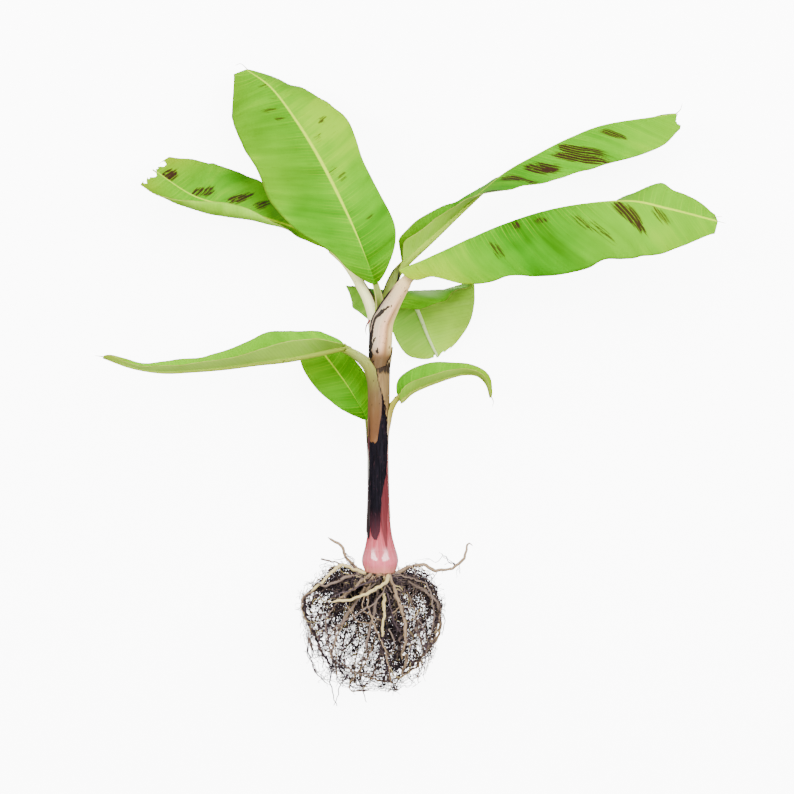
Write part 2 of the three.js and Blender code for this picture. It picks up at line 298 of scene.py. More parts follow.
def new_piece(name, bm, finishes, replaced=()):
    """Turns a bmesh into an object at the origin that rides on the plant."""
    mesh = bpy.data.meshes.new(name)
    bm.to_mesh(mesh)
    bm.free()
    piece = bpy.data.objects.new(name, mesh)
    bpy.context.scene.collection.objects.link(piece)
    for finish in finishes:
        mesh.materials.append(finish)
    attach(piece, "root")
    if replaced:
        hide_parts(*replaced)
    return piece


def carry(mesh, name, values):
    """Gives each point of a mesh a number that finishes can read."""
    mesh.attributes.new(name, "FLOAT", "POINT").data.foreach_set("value", np.asarray(values, np.float32))


def lay_out(mesh, name, places):
    """A UV map from a flat place for each vertex."""
    corners = np.zeros(len(mesh.loops), np.int32)
    mesh.loops.foreach_get("vertex_index", corners)
    layer = mesh.uv_layers.new(name=name)
    layer.data.foreach_set("uv", np.asarray(places, np.float32)[corners].ravel())


print("piece helpers ready")

# %% [markdown]
# A banana leaf has a smooth, satin upper face. Its side veins run straight out from the midrib and
# then sweep towards the tip, a few millimetres apart, paler than the blade near the midrib. This kind
# has maroon streaks that follow those veins. The pattern is drawn on a flat map of the blade, with one
# unit for each 100 mm: along the veins' own spacing one way, and out from the midrib the other. So
# every pattern below is given its real size in millimetres.

# %% Patterns that follow the veins
MAP_UNIT = 100
VEIN_SPACING = 3.4
FINE_VEIN_SPACING = 0.9
STREAK_ROUGHNESS = 0.55


def flat_map(tree, layer):
    """A point's two places on a piece's flat map, in the map's own millimetres or degrees."""
    places = add(tree, "SeparateXYZ", add(tree, "UVMap", uv_map=layer), take=("X", "Y"))
    return [add(tree, "Math", place, MAP_UNIT, **PRODUCT) for place in places]


def stretched_noise(tree, along, out, spacing, length, detail=2.0, seed=0.0):
    """Noise in streaks that lie along the veins, one spacing wide and one length long."""
    columns = add(tree, "Math", along, spacing, operation="DIVIDE")
    rows = add(tree, "Math", out, length, operation="DIVIDE")
    place = add(tree, "CombineXYZ", columns, rows, seed)
    return add(tree, "TexNoise", place, 1.0, detail, STREAK_ROUGHNESS)


def vein_lines(tree, along, out, spacing, sharpness):
    """1 on a side vein and 0 between veins, which waver a little."""
    sway = add(tree, "Math", stretched_noise(tree, along, out, 14, 60, 1.0, 4.0), 5, **PRODUCT)
    turns = add(tree, "Math", add(tree, "Math", along, sway, **SUM), spacing, operation="DIVIDE")
    wave = add(tree, "Math", add(tree, "Math", turns, math.tau, **PRODUCT), operation="COSINE")
    return add(tree, "MapRange", wave, sharpness, 1.0, **EASED)


def streak_marks(tree, along, out, base):
    """The maroon streaks: the mesh says where and how strongly, and noise frays them into stripes."""
    fray = stretched_noise(tree, along, out, 1.8, 16, 3.5, 9.0)
    strength = add(tree, "Attribute", take="Fac", attribute_name="mark")
    spread = add(tree, "Math", add(tree, "Math", fray, 0.5, **LESS), 2.6, **PRODUCT)
    shape = add(tree, "Math", add(tree, "Math", strength, 0.85, **PRODUCT), spread, **SUM)
    veins = add(tree, "Math", vein_lines(tree, along, out, VEIN_SPACING, 0.85), 0.6, **PRODUCT)
    inside = add(tree, "MapRange", add(tree, "Math", shape, veins, **LESS), 0.42, 0.48, **EASED)
    firm = add(tree, "MapRange", strength, 0.1, 0.8, 0.35, 0.98, **EASED)
    maroon = paint(tree, "#1C0C0C", ("#3C1E1C", stretched_noise(tree, along, out, 1.5, 20, 2.0, 3.0)))
    return paint(tree, base, (maroon, add(tree, "Math", inside, firm, **PRODUCT)))


print("one side vein each", VEIN_SPACING, "mm")


# %% Finish of the leaf's upper face
UPPER_CLOUDS_PER_METRE = 22
# The upper greens run from the deepest painted shade to the brightest painted light.
UPPER_GREENS = [(0.0, "#1C5A00"), (0.3, "#337E00"), (0.65, "#509800"), (1.0, "#78AE00")]


def blade_upper():
    """Living leaf skin under a thin, clear cuticle that grew smooth. It gives the eye a soft sheen over
    uneven green with painted light and shade, lighter where light falls on the blade and darker where it
    lies in shade, with pale veins and a yellow-green midrib."""
    material, tree, shader = new_finish(
        "leaf_cuticle_upper", Roughness=0.42, IOR=1.4, Specular_IOR_Level=0.08,
        Specular_Tint=linear("#D8FF40"),
    )
    along, out = flat_map(tree, "blade")
    beside = add(tree, "Math", out, operation="ABSOLUTE")
    sun, pale, yellow, rib, margin, bloom = [
        add(tree, "Attribute", take="Fac", attribute_name=key)
        for key in ("sun", "pale", "yellow", "rib", "margin", "bloom")
    ]
    # sun paints light and shade into the green. Noise stirs it into soft lighter and darker bands.
    broad = add(tree, "TexNoise", add(tree, "TexCoord", take="Object"), UPPER_CLOUDS_PER_METRE, 2.0)
    broad = add(tree, "Math", broad, 0.9, **PRODUCT)
    bands = add(tree, "Math", stretched_noise(tree, along, out, 11, 90, 3.0), 1.1, **PRODUCT)
    stir = add(tree, "Math", add(tree, "Math", broad, bands, **SUM), 1.0, **LESS)
    green = add(tree, "ValToRGB", add(tree, "Math", sun, stir, **SUM), stops=UPPER_GREENS)
    near_rib = add(tree, "MapRange", beside, 2, 30, 1, 0.05, **EASED)
    chosen = stretched_noise(tree, along, out, 4, 70, 1.0, 7.0)
    chosen = add(tree, "MapRange", chosen, 0.35, 0.68, 0.05, 1, **EASED)
    coarse = add(tree, "Math", vein_lines(tree, along, out, VEIN_SPACING, 0.72), near_rib, **PRODUCT)
    coarse = add(tree, "Math", coarse, chosen, **PRODUCT)
    fine = vein_lines(tree, along, out, FINE_VEIN_SPACING, 0.0)
    # pale is partly the blade's own paler tissue and partly a painted sheen.
    green = paint(
        tree, green, ("#76B010", pale), ("#8C9E00", yellow),
        ("#A0C418", add(tree, "Math", coarse, 0.42, **PRODUCT)),
        ("#225A04", add(tree, "Math", fine, 0.12, **PRODUCT)),
    )
    # bloom lays a whitish painted sheen where the blade catches the light.
    green = paint(
        tree, streak_marks(tree, along, out, green),
        ("#B4D020", add(tree, "Math", beside, rib, **LESS), -0.7, 0.5, 0.95, 0),
        ("#6E6A2C", margin, 0.3, 1.2, 0.6, 0),
        ("#BCD49A", add(tree, "Math", bloom, 0.6, **PRODUCT)),
    )
    coarse = add(tree, "Math", coarse, 0.6, **PRODUCT)
    fine = add(tree, "Math", fine, 0.25, **PRODUCT)
    relief = add(tree, "Math", coarse, fine, **SUM)
    bump = add(tree, "Bump", Height=relief, Strength=0.35, Distance=0.3 * MM)
    feed(shader, Base_Color=green, Normal=bump)
    return material


upper_face = blade_upper()
print("finish", upper_face.name)

# %% [markdown]
# The underside is paler and bluish, because it carries a dull wax. Its veins stand out as ridges, and
# the streaks of the upper face only show through faintly. The cut edge of a blade is thin and dry.


# %% Finish of the leaf's underside
LOWER_CLOUDS_PER_METRE = 30


def blade_lower():
    """Leaf skin with a dull wax that the plant sweats out. It gives the eye a paler, chalkier green, with
    hardly any sheen, and bluish patches where the wax lies thick. Its darker green is painted shade."""
    material, tree, shader = new_finish(
        "leaf_wax_lower", Roughness=0.5, IOR=1.4, Specular_IOR_Level=0.1,
        Specular_Tint=linear("#D8FF70"),
    )
    along, out = flat_map(tree, "blade")
    sun, pale, yellow, bloom, mark, margin = [
        add(tree, "Attribute", take="Fac", attribute_name=key)
        for key in ("sun", "pale", "yellow", "bloom", "mark", "margin")
    ]
    broad = add(tree, "TexNoise", add(tree, "TexCoord", take="Object"), LOWER_CLOUDS_PER_METRE, 3.0)
    wax = stretched_noise(tree, along, out, 7, 50, 3.0, 2.0)
    veins = vein_lines(tree, along, out, VEIN_SPACING, 0.5)
    fray = stretched_noise(tree, along, out, 2.2, 26, 2.5, 9.0)
    fray = add(tree, "MapRange", fray, 0.4, 0.6, 0, 0.35, **EASED)
    # Darker green where sun is low is painted shade. pale is partly paler tissue and partly a painted sheen,
    # and the grey-green of bloom is a painted sheen.
    green = paint(
        tree, "#70AC04", ("#92C824", broad, 0.35, 0.68), ("#3C8806", sun, 0, 0.3, 0.9, 0),
        ("#98C048", wax, 0.45, 0.75, 0, 0.45), ("#B4DC58", pale), ("#98A808", yellow),
        ("#5E8A58", add(tree, "Math", bloom, 0.6, **PRODUCT)),
        ("#4E8408", add(tree, "Math", veins, 0.12, **PRODUCT)),
        ("#5E5430", add(tree, "Math", mark, fray, **PRODUCT)),
        ("#7C783A", margin, 0.2, 1.0, 0.5, 0),
    )
    bump = add(tree, "Bump", Height=veins, Strength=0.3, Distance=0.2 * MM)
    feed(shader, Base_Color=green, Normal=bump)
    return material


under_face = blade_lower()
print("finish", under_face.name)


# %% Finish of the leaf's rim
def plain_grain(name, low, high, scale_mm, roughness, squash=(1, 1, 1), relief_mm=0.0):
    """A finish of two colours in a grain, for the small surfaces that need no map."""
    material, tree, shader = new_finish(name, Roughness=roughness, Specular_IOR_Level=0.15)
    place = add(tree, "Mapping", Vector=add(tree, "TexCoord", take="Object"), Scale=squash)
    grain = add(tree, "TexNoise", place, 1 / (scale_mm * MM), 3.0)
    feed(shader, Base_Color=paint(tree, low, (high, grain, 0.36, 0.64)))
    if relief_mm:
        bump = add(tree, "Bump", Height=grain, Strength=0.6, Distance=relief_mm * MM)
        feed(shader, Normal=bump)
    return material


# The margin is leaf tissue that has dried, so it is matt and straw-green, with no veins to see.
blade_rim = plain_grain("leaf_rim", "#8A8038", "#A4AC4A", 9, 0.6)
print("finish", blade_rim.name)

# %% [markdown]
# A leaf stalk is a thick, spongy trough. Lower down it widens into the sheath that wraps the stem. Its
# skin changes colour on the way, and each leaf differs, from cream and pink through olive to green, so
# every leaf has its own run of colours. The sheath's margin dries to a thin brown or black edge.


# %% Finish of stalks and sheaths
def stalk_skin(name, stops, dry, spots, round_stops, edge_colour):
    """Stalk skin, smooth and full of sap over long fibres. It gives the eye a soft, moist sheen, fine lines
    along it, brown specks, black stains, and a margin that has dried dark. Pale cream patches low on it are
    a painted highlight, and so is the brightest cream round the right front sheath."""
    material, tree, shader = new_finish(name, Roughness=0.4, IOR=1.42, Specular_IOR_Level=0.08)
    along, out = flat_map(tree, "blade")
    reach, sun, margin, dried, mark = [
        add(tree, "Attribute", take="Fac", attribute_name=key)
        for key in ("reach", "sun", "margin", "dry", "mark")
    ]
    fibre = stretched_noise(tree, out, along, 1.1, 60, 2.0)
    patch = stretched_noise(tree, out, along, 5, 26, 3.0, 6.0)
    skin = add(tree, "ValToRGB", reach, stops=stops)
    # The colours round the stalk, picked by sun, which on a stalk is only its share round: its own grey, pink
    # and orange-brown, and a painted highlight, the brightest cream, on the sheath's right side.
    if round_stops:
        below = add(tree, "MapRange", reach, 0.55, 0.8, 1, 0, **EASED)
        above = add(tree, "MapRange", reach, 0.28, 0.36, **EASED)
        uneven = add(tree, "MapRange", patch, 0.3, 0.6, 0.95, 0.7, **EASED)
        low = add(tree, "Math", add(tree, "Math", below, above, **PRODUCT), uneven, **PRODUCT)
        skin = paint(tree, skin, (add(tree, "ValToRGB", sun, stops=round_stops), low))
    # Pale cream patches low on the stalk are a painted highlight.
    fresh_and_glint = add(tree, "MapRange", reach, 0.85, 0.98, 0.04, 0, **EASED)
    fresh_and_glint = add(tree, "Math", add(tree, "MapRange", patch, 0.5, 0.75, **EASED), fresh_and_glint, **PRODUCT)
    speck = stretched_noise(tree, out, along, 1.3, 2.2, 1.0, 5.0)
    bruise = add(tree, "MapRange", margin, 1, 7, 0.3, 0, **EASED)
    frayed = add(tree, "Math", margin, add(tree, "Math", patch, -3.0, **PRODUCT), **SUM)
    edge = add(tree, "MapRange", frayed, -1.4 + dry, -0.4 + dry, 1, 0, **EASED)
    blot = stretched_noise(tree, out, along, 2.6, 6, 3.0, 8.0)
    spread = add(tree, "Math", add(tree, "Math", blot, 0.5, **LESS), 2.6, **PRODUCT)
    skin = paint(
        tree, skin, ("#5E4226", fibre, 0.4, 0.7, 0, 0.2), ("#F0D8B0", fresh_and_glint),
        ("#3B2318", speck, 0.72 - 0.06 * spots, 0.78 - 0.06 * spots, 0, spots),
        ("#5A484C", add(tree, "Math", bruise, dried, **PRODUCT)),
        (edge_colour, add(tree, "Math", edge, dried, **PRODUCT)),
        ("#0E090A", add(tree, "Math", mark, spread, **SUM), 0.42, 0.54, 0, 0.96),
    )
    bump = add(tree, "Bump", Height=fibre, Strength=0.3, Distance=0.3 * MM)
    feed(shader, Base_Color=skin, Normal=bump)
    return material


print("stalk finish ready")


# %% Finish of the trough and the sheath's margin
def sheath_rim():
    """The torn edge of a sheath: pale, wet tissue where it is still alive, and black, papery and matt where
    it has dried."""
    material, tree, shader = new_finish("sheath_rim", Roughness=0.5, IOR=1.4)
    dried, reach = [add(tree, "Attribute", take="Fac", attribute_name=key) for key in ("dry", "reach")]
    # Here fresh_and_glint is only the living rim's own colour.
    fresh_and_glint = paint(tree, "#B89080", ("#A8B048", reach, 0.6, 0.95))
    feed(shader, Base_Color=paint(tree, fresh_and_glint, ("#1E1013", dried, 0.2, 0.6)))
    return material


# The trough's lining is soft green tissue that never dries out, so its grain runs long and faint.
channel = plain_grain("stalk_channel", "#6E8A2A", "#A8B85A", 12, 0.45, (1, 0.2, 1))
dry_margin = sheath_rim()
print("stalk finishes", channel.name, dry_margin.name)

# %% [markdown]
# Eight leaves bend in eight ways. Each could be modelled by hand from a plane, but then every change
# would be made eight times. So each leaf is written down as a few measures, in millimetres and degrees,
# and one rule draws them all. The measures repeat those of the imported solids:
# - the points that the midrib passes, and the share of it that is bare stalk
# - the width, fold and curl of the two halves, at even steps from base to tip. The fold is the angle at
#   which a half leaves the midrib, from level towards the upper face, and the curl is how much further
#   it turns on the way to the margin. The sweep draws the margins towards the tip.
#
# The finer plant adds these:
# - the stalk's own line, each point with its radius, from inside the stem to the blade
# - the opening, which way its trough faces, at the stem and half way, and the wrap, how many degrees
#   its sheet reaches each way
# - rib, the midrib's radius at base and tip, and rib_line, the half width of its pale line
# - skin, the colours along the stalk; dry, how far in its margin has dried; dry_to, how far up; spots
# - sun, the painted light and shade of each half along the blade; yellow and pale, how yellow
#   and how pale it is along its length, where pale is partly the blade's own paler tissue and partly a
#   painted sheen
# - marks, the maroon streaks: the share along, the distance out, the length outwards, the breadth
#   along, and the strength
# - wave, how far the margins wave, and slant, how much the side veins lean towards the tip.

# %% [markdown]
# The leaf nearest the viewer leaves the stem to the right. One half folds back under the other, so it
# is seen edge on near its base. Its tip is blunt: tip_round 0 leaves a half's last width as it is, and
# lobe draws the outline forwards there, or back. Its sheath is the palest and the most stained. Stains
# are black strokes: both ends, each in millimetres along and as a share round, the half width and the
# strength. The colours of round_skin run round the stalk instead of along it.

# %% The right front leaf
LEAVES = {}


def note_leaf(name, **measures):
    LEAVES[name] = measures
    print(name, "midrib points", len(measures["midrib"]), "marks", len(measures.get("marks", ())))


note_leaf(
    "leaf_right_front",
    midrib=[
        (18, 281, 29), (56, 298, 34), (111, 322, 46), (166, 338, 52), (226, 344, 52), (267, 337, 46),
        (315, 326, 36),
    ],
    stalk=0, sweep=0.25, ridge_from=0.14, sink=2.2,
    half_a={
        "width": [8, 16, 24, 31, 38, 41, 43, 44, 44, 43.5, 42, 40, 38, 34, 28, 21, 28, 19, 17.5, 13, 6],
        "fold": [-120, -120, -120, -115, -110, -105, -98, -80, -30, -15, -10],
        "curl": [0], "tip_round": 0, "lobe": -4,
    },
    half_b={
        "width": [28, 20, 38, 47, 49, 57, 62, 63, 61, 55, 55, 53, 47, 38, 25, 12],
        "fold": [20, 20, 15, 10, 0],
        "curl": [-20, -20, -25, -25, -10], "tip_round": 0,
    },
    stalk_line=[
        (-1.5, 150, 0, 9.6), (-1.2, 188, 0, 9.8), (0.2, 212, 1, 11.1), (1.5, 232, 4, 11),
        (7.5, 246, 9, 10), (14, 257.5, 14, 8.9), (21, 268, 18, 7.8), (29, 277.5, 21, 6),
    ],
    opening=[(-0.8, 0, -0.6), (-0.75, 0.6, -0.25)], wrap=[132, 122], rib=[5.2, 1.0],
    rib_line=[0.2, 0, 0, 0.1, 0.7, 1.2, 1, 0.8],
    skin=[
        (0, "#4A3826"), (0.27, "#5A452C"), (0.34, "#8A6440"), (0.42, "#D8A47C"), (0.6, "#E8BC88"),
        (0.8, "#F0D08C"), (0.93, "#E0C868"), (1, "#8FA41C"),
    ],
    # round_skin holds the sheath's own colours round it, and a painted highlight: the bright cream at its
    # right side.
    round_skin=[
        (0.4, "#FFE890"), (0.52, "#F4D08C"), (0.575, "#B08A58"), (0.6, "#A07850"), (0.635, "#E8B084"),
        (0.68, "#FFCCA4"), (0.76, "#E4CCA8"), (0.85, "#BEB49C"), (0.94, "#94897C"),
    ],
    stains=[
        ((106, 0.44), (99, 0.62), 1.0, 0.7), ((99, 0.62), (89, 0.8), 1.5, 0.95),
        ((89, 0.8), (76, 0.9), 1.5, 0.9), ((74, 0.97), (50, 0.9), 2.6, 1),
        ((64, 0.03), (60, 0.01), 0.9, 0.8), ((68, 0.74), (50, 0.62), 4, 0.3),
    ],
    dry=1.6, spots=0.8,
    dry_to=0.72, sun=([0.5], [1, 0.8, 0.45, 0.2, 0.25, 0.5, 0.6, 0.65]),
    yellow=[1, 0.45, 0.1, 0, 0, 0, 0, 0, 0.05, 0.1], pale=[0.1, 0, 0, 0.1, 0.45, 0.45, 0.3],
    marks=[
        (0.68, -15, 23, 15, 1), (0.79, -8, 12, 14, 0.6), (0.53, -20, 20, 6, 0.6),
        (0.55, -27, 20, 6, 0.6), (0.28, -22, 17, 7, 0.62), (0.37, -6, 5, 6, 0.75),
        (0.44, -9, 4, 9, 0.7),
    ],
    wave=2.2, slant=([0.1], [0, 0.05, 0.25, 0.75, 1.05, 1.2]),
)

# %% [markdown]
# The newest leaf stands up and is seen full face, nearly flat, with one half rolled under at the tip.

# %% The upper left leaf
note_leaf(
    "leaf_upper_left",
    midrib=[
        (1, 236, 2), (-2, 262, 8), (-18, 306, 16), (-33, 340, 16), (-55, 384, 11), (-79, 424, 2),
        (-104, 458, -10), (-129, 478, -24),
    ],
    stalk=0.12, sweep=0.15, tip_round=0.045,
    half_a={
        "width": [14, 20, 27, 39, 50, 57, 61, 60.5, 58, 57, 57, 54, 50, 41, 11],
        "fold": [-6, -4], "curl": [-6, -10], "tip_round": 0, "lobe": 9,
    },
    half_b={
        "width": [18, 36, 36, 36, 43, 38, 29, 15],
        "fold": [-4, -4, -10, -40],
        "curl": [0, 0, -20, -60],
    },
    stalk_line=[(-0.4, 200, 0, 9), (0.5, 222, 0, 8.6), (0.8, 240, 2, 6.2), (-0.4, 254, 5.5, 4.2)],
    opening=[(0, 0, 1), (0, 0, 1)], wrap=[150, 110], rib=[3.0, 0.9],
    rib_line=[-0.4, 0.3, 1, 1.4, 1.5, 1.3, 1, 0.8, 0.5],
    skin=[(0, "#A8A050"), (0.6, "#8FA828"), (1, "#7FA018")],
    dry=0.6, spots=0.2,
    dry_to=0, sun=([0.35, 0.6, 0.62, 0.5, 0.5, 0.5, 0.5], [0.1, 0.3, 0.6, 0.85, 0.9, 0.8, 0.55]),
    yellow=[0.15, 0.05, 0.05, 0.2, 0.2, 0.2, 0.25], pale=[0],
    marks=[
        (0.88, 3, 9, 3, 0.6), (0.81, 5, 6, 3, 0.55), (0.76, 15, 12, 4, 0.55), (0.71, 13, 7, 2.5, 0.6),
        (0.63, -22, 9, 3, 0.6), (0.59, -9, 7, 6, 0.55), (0.45, -5, 8, 3, 0.55), (0.41, -12, 8, 5, 0.5),
        (0.22, -18, 6, 2.5, 0.55),
    ],
    wave=1.6, slant=([0.55], [0.15]),
)

# %% [markdown]
# This one is still half rolled. Near its base the two halves close over each other, and they open
# towards the tip, which is torn. The tear's depth is in millimetres, and base_round is the share of the
# blade over which its base is rounded.

# %% The upper right leaf
note_leaf(
    "leaf_upper_right",
    midrib=[
        (4, 235, -4), (14, 279, -9), (30, 295, -12), (59, 324, -12), (89, 352, -10), (119, 377, -6),
        (151, 395, -3), (181, 410, -2), (217, 423, -4), (285, 434, -14),
    ],
    stalk=0.16, sweep=0.15, torn=4, base_round=0.05,
    half_a={
        "width": [22, 23, 18, 20, 30, 35, 36, 32, 12],
        "fold": [0, -15, -55, -85, -95, -100, -100, -95, -75],
        "curl": [0],
    },
    half_b={
        "width": [22, 21, 19, 20, 24, 30, 34, 36, 36, 36, 37, 38, 38, 37, 34, 28, 15],
        "fold": [140, 125, 100, 64, 36, 18, 10, 10, 10],
        "curl": [0, 0, 0, 0, 0, -5, -10, -10, 0], "tip_round": 0, "lobe": 1,
    },
    stalk_line=[
        (-0.9, 190, -1, 9.2), (0.5, 218, -2, 9.0), (2, 238, -3, 7.2), (6.5, 257, -5, 5.9),
        (13, 275, -7, 5.2),
    ],
    opening=[(-0.5, 0, 0.85), (-0.25, 0.2, 0.95)], wrap=[140, 112], rib=[4.2, 0.9],
    skin=[(0, "#8C7848"), (0.5, "#A09C44"), (0.8, "#A8B448"), (1, "#98B830")],
    dry=2.1, spots=0.6,
    dry_to=0.95, sun=([0.4], [0.5, 0.5, 0.5, 0.55, 0.6]),
    yellow=[0.2, 0.1, 0, 0, 0, 0, 0, 0.05, 0.15], pale=[0.2, 0.1, 0, 0, 0.1, 0.2, 0.35],
    marks=[
        (0.595, -17, 24, 12, 1), (0.56, -24, 28, 11, 1), (0.48, -17, 18, 14, 1),
        (0.395, -17, 20, 9, 0.95), (0.4, -31, 7, 7, 0.8), (0.73, -12, 13, 8, 0.85),
        (0.29, -22, 20, 7, 0.8), (0.2, -8, 8, 8, 0.7),
    ],
    wave=1.4, slant=([0.3], [0.8, 0.8, 0.7, 1.4, 1.5]),
)

# %% [markdown]
# The far half of this blade curls right over, so that its underside shows. Edge is the colour of the
# sheath's dry margin.

# %% The left back leaf
note_leaf(
    "leaf_left_back",
    midrib=[
        (-1, 238, -6), (-17, 270, -8), (-33, 294, -10), (-73, 321, -14), (-109, 334, -13),
        (-144, 345, -13), (-180, 356, -13), (-218, 381, -16),
    ],
    stalk=0.3, sweep=0.15, tip_round=0.02, torn=7,
    half_a={
        "width": [5, 8, 13, 24, 37, 34, 30, 27],
        "fold": [25, 20, 10, 5, 0, 0, 0, 10],
        "curl": [0, 20, 120, 180, 180, 150, 100, 60],
    },
    half_b={"width": [6, 16, 30, 51, 55, 54, 44, 24], "fold": [-50, -50, -45, -40], "curl": [0]},
    stalk_line=[
        (-1, 190, -1, 9.3), (-1, 222, -2, 9.4), (-5, 243, -4, 7.8), (-10.5, 257, -6, 6.8),
        (-16.5, 268, -8, 6.4), (-23.5, 280, -9, 6), (-33, 292.5, -10, 5.4), (-46, 304, -12, 4.6),
    ],
    opening=[(0.8, 0, 0.3), (0.62, 0.75, -0.2)], wrap=[140, 118], rib=[3.6, 0.8],
    skin=[(0, "#A89880"), (0.3, "#FFF0C0"), (0.6, "#FFFFB0"), (0.85, "#FFFF9C"), (1, "#B8CC48")],
    dry=0.3, spots=0.15, edge="#4E1C1A",
    dry_to=0.85, sun=([0.6], [0.35, 0.45, 0.55, 0.55, 0.6]),
    yellow=[0.1, 0, 0, 0, 0, 0.05, 0.3, 0.8], pale=[0.35, 0.3, 0.1, 0, 0],
    marks=[
        (0.92, -6, 16, 9, 0.95), (0.75, -7, 15, 7, 0.8), (0.71, -13, 15, 8, 0.75),
        (0.58, -17, 24, 9, 0.95), (0.47, -18, 17, 11, 0.7),
    ],
    wave=1.2, slant=([0.2], [-0.5, -0.6, -0.6, -0.2, -0.1]),
)

# %% [markdown]
# The long, low leaf on the left hangs like a tent, so it is seen from the side. Its sheath closes round
# the stem. Hem says how far up the sheath's lower end begins, from one margin round to the other, and
# ragged how much that end is torn.

# %% The left front leaf
note_leaf(
    "leaf_left_front",
    midrib=[
        (-3, 183, 10), (-11, 199, 12), (-26, 210, 16), (-47, 207, 22), (-75, 200, 28), (-112, 195, 32),
        (-158, 189, 34), (-214, 187, 34), (-258, 200, 32),
    ],
    stalk=0.16, sweep=0.1,
    half_a={
        "width": [20, 27, 28, 21, 17, 14, 11, 6, 7],
        "fold": [95, 112, 118, 112, 110, 110, 112, 115, 120],
        "curl": [10],
    },
    half_b={"width": [20, 30, 34, 23, 15, 13, 7, 6], "fold": [-40], "curl": [10]},
    stalk_line=[
        (-1.5, 104, 0, 10.7), (-1.6, 140, 0, 10.3), (-1.6, 164, 0.5, 10.2), (-3.8, 178, 2, 8.8),
        (-9.2, 190, 6, 6.8), (-16.6, 199, 10.5, 5.9), (-25, 205, 14.5, 5.3), (-33, 208.5, 17.5, 4.8),
    ],
    opening=[(0.57, 0, 0.82), (0.5, 0.85, -0.1)], wrap=[176, 122], rib=[4.0, 0.8],
    skin=[
        (0, "#7A502A"), (0.2, "#603F26"), (0.35, "#634528"), (0.5, "#645030"), (0.62, "#706A38"),
        (0.74, "#868A3E"), (0.86, "#94A050"), (1, "#8CA030"),
    ],
    dry=1.8, spots=0.5, ragged=3,
    hem=[41, 40, 17, 15, 15, 18, 24, 12, 4, 0, 5, 12, 8, 14, 24, 28, 34, 38, 36, 42, 41],
    dry_to=0.6, sun=([0.4], [0.5]),
    yellow=[0, 0, 0, 0, 0, 0, 0.1, 0.9], pale=[0.25, 0.35, 0.5, 0.6, 0.6, 0.5],
    wave=1.0, slant=([0.3], [0.3]),
)

# %% [markdown]
# Two small leaves are the oldest. The right one arches over and droops at its tip.

# %% The small right leaf
note_leaf(
    "leaf_small_right",
    midrib=[
        (8, 136, 2), (15, 153, 6), (30, 168, 10), (57, 179, 14), (81, 185, 16), (98, 180, 16),
        (105, 162, 14),
    ],
    stalk=0.2, sweep=0.2,
    half_a={"width": [16, 20, 19, 12, 8, 3], "fold": [-20, -40, -50], "curl": [20]},
    half_b={"width": [12, 16, 16, 12, 9, 5], "fold": [112, 105, 100, 80], "curl": [20]},
    stalk_line=[
        (-0.3, 26, 0, 13.2), (-1.1, 58, 0, 10.6), (-1.5, 118, 0, 9.9), (3.2, 140, 1, 7.8),
        (9.4, 153.5, 3, 5), (15.5, 161.5, 5.5, 3.7), (22, 166.5, 8, 3.1),
    ],
    opening=[(-0.5, 0, 0.87), (-0.6, 0.8, -0.1)], wrap=[84, 112], rib=[2.8, 0.8],
    skin=[
        (0, "#6A3438"), (0.15, "#582828"), (0.36, "#5C3030"), (0.48, "#74565A"), (0.6, "#B09C94"),
        (0.72, "#B09858"), (0.82, "#98902E"), (1, "#90A038"),
    ],
    dry=0.7, spots=0.2, hem=[2, 20, 30, 30, 20], ragged=2,
    dry_to=0.0, sun=([0.5], [0.4]),
    yellow=[0, 0, 0, 0.1, 0.5, 0.9], pale=[0.1, 0.3, 0.4, 0.5],
    wave=0.8, slant=([0.3], [0.3]),
)

# %% [markdown]
# The small left leaf lies behind the stem and opens nearly flat.

# %% The small left leaf
note_leaf(
    "leaf_small_left",
    midrib=[
        (-9, 116, -8), (-13, 140, -12), (-28, 168, -20), (-42, 188, -26), (-56, 206, -32),
        (-68, 221, -38),
    ],
    stalk=0.2, sweep=0.2,
    half_a={"width": [6, 18, 25, 27, 25, 18], "fold": [-10], "curl": [0]},
    half_b={"width": [6, 16, 21, 19, 13, 6], "fold": [-10], "curl": [0]},
    stalk_line=[
        (-0.7, 28, 0, 12.8), (-1.4, 70, 0, 10.6), (-2.4, 98, -2, 9.7), (-6.2, 112, -5, 6.6),
        (-9.5, 123, -8, 3.8),
    ],
    opening=[(0.98, 0, 0.17), (0.6, 0.2, 0.75)], wrap=[50, 110], rib=[1.7, 0.6],
    rib_line=[-0.4, 0.2, 0.6, 0.8, 0.5],
    skin=[
        (0, "#100C0E"), (0.24, "#1C1719"), (0.4, "#4A4446"), (0.56, "#8C8884"), (0.7, "#A4A294"),
        (0.82, "#44401F"), (1, "#3C4A16"),
    ],
    dry=1.4, spots=0.5, hem=[0, 5, 10, 14, 16, 16], ragged=3,
    dry_to=0.5, sun=([0.15, 0.5, 0.6], [0.4, 0.5, 0.3]),
    yellow=[0.05, 0.05, 0.1, 0.2], pale=[0, 0, 0.1],
    wave=0.8, slant=([0.4], [0.3]),
)

# %% [markdown]
# The last leaf bends over behind the stem and hangs tip down. Its midrib turns too sharply for the
# usual rule, so across fixes which way its halves lie. Its blooms are painted sheen, pale ovals
# where it catches the light: the share along and across, both sizes and the strength.

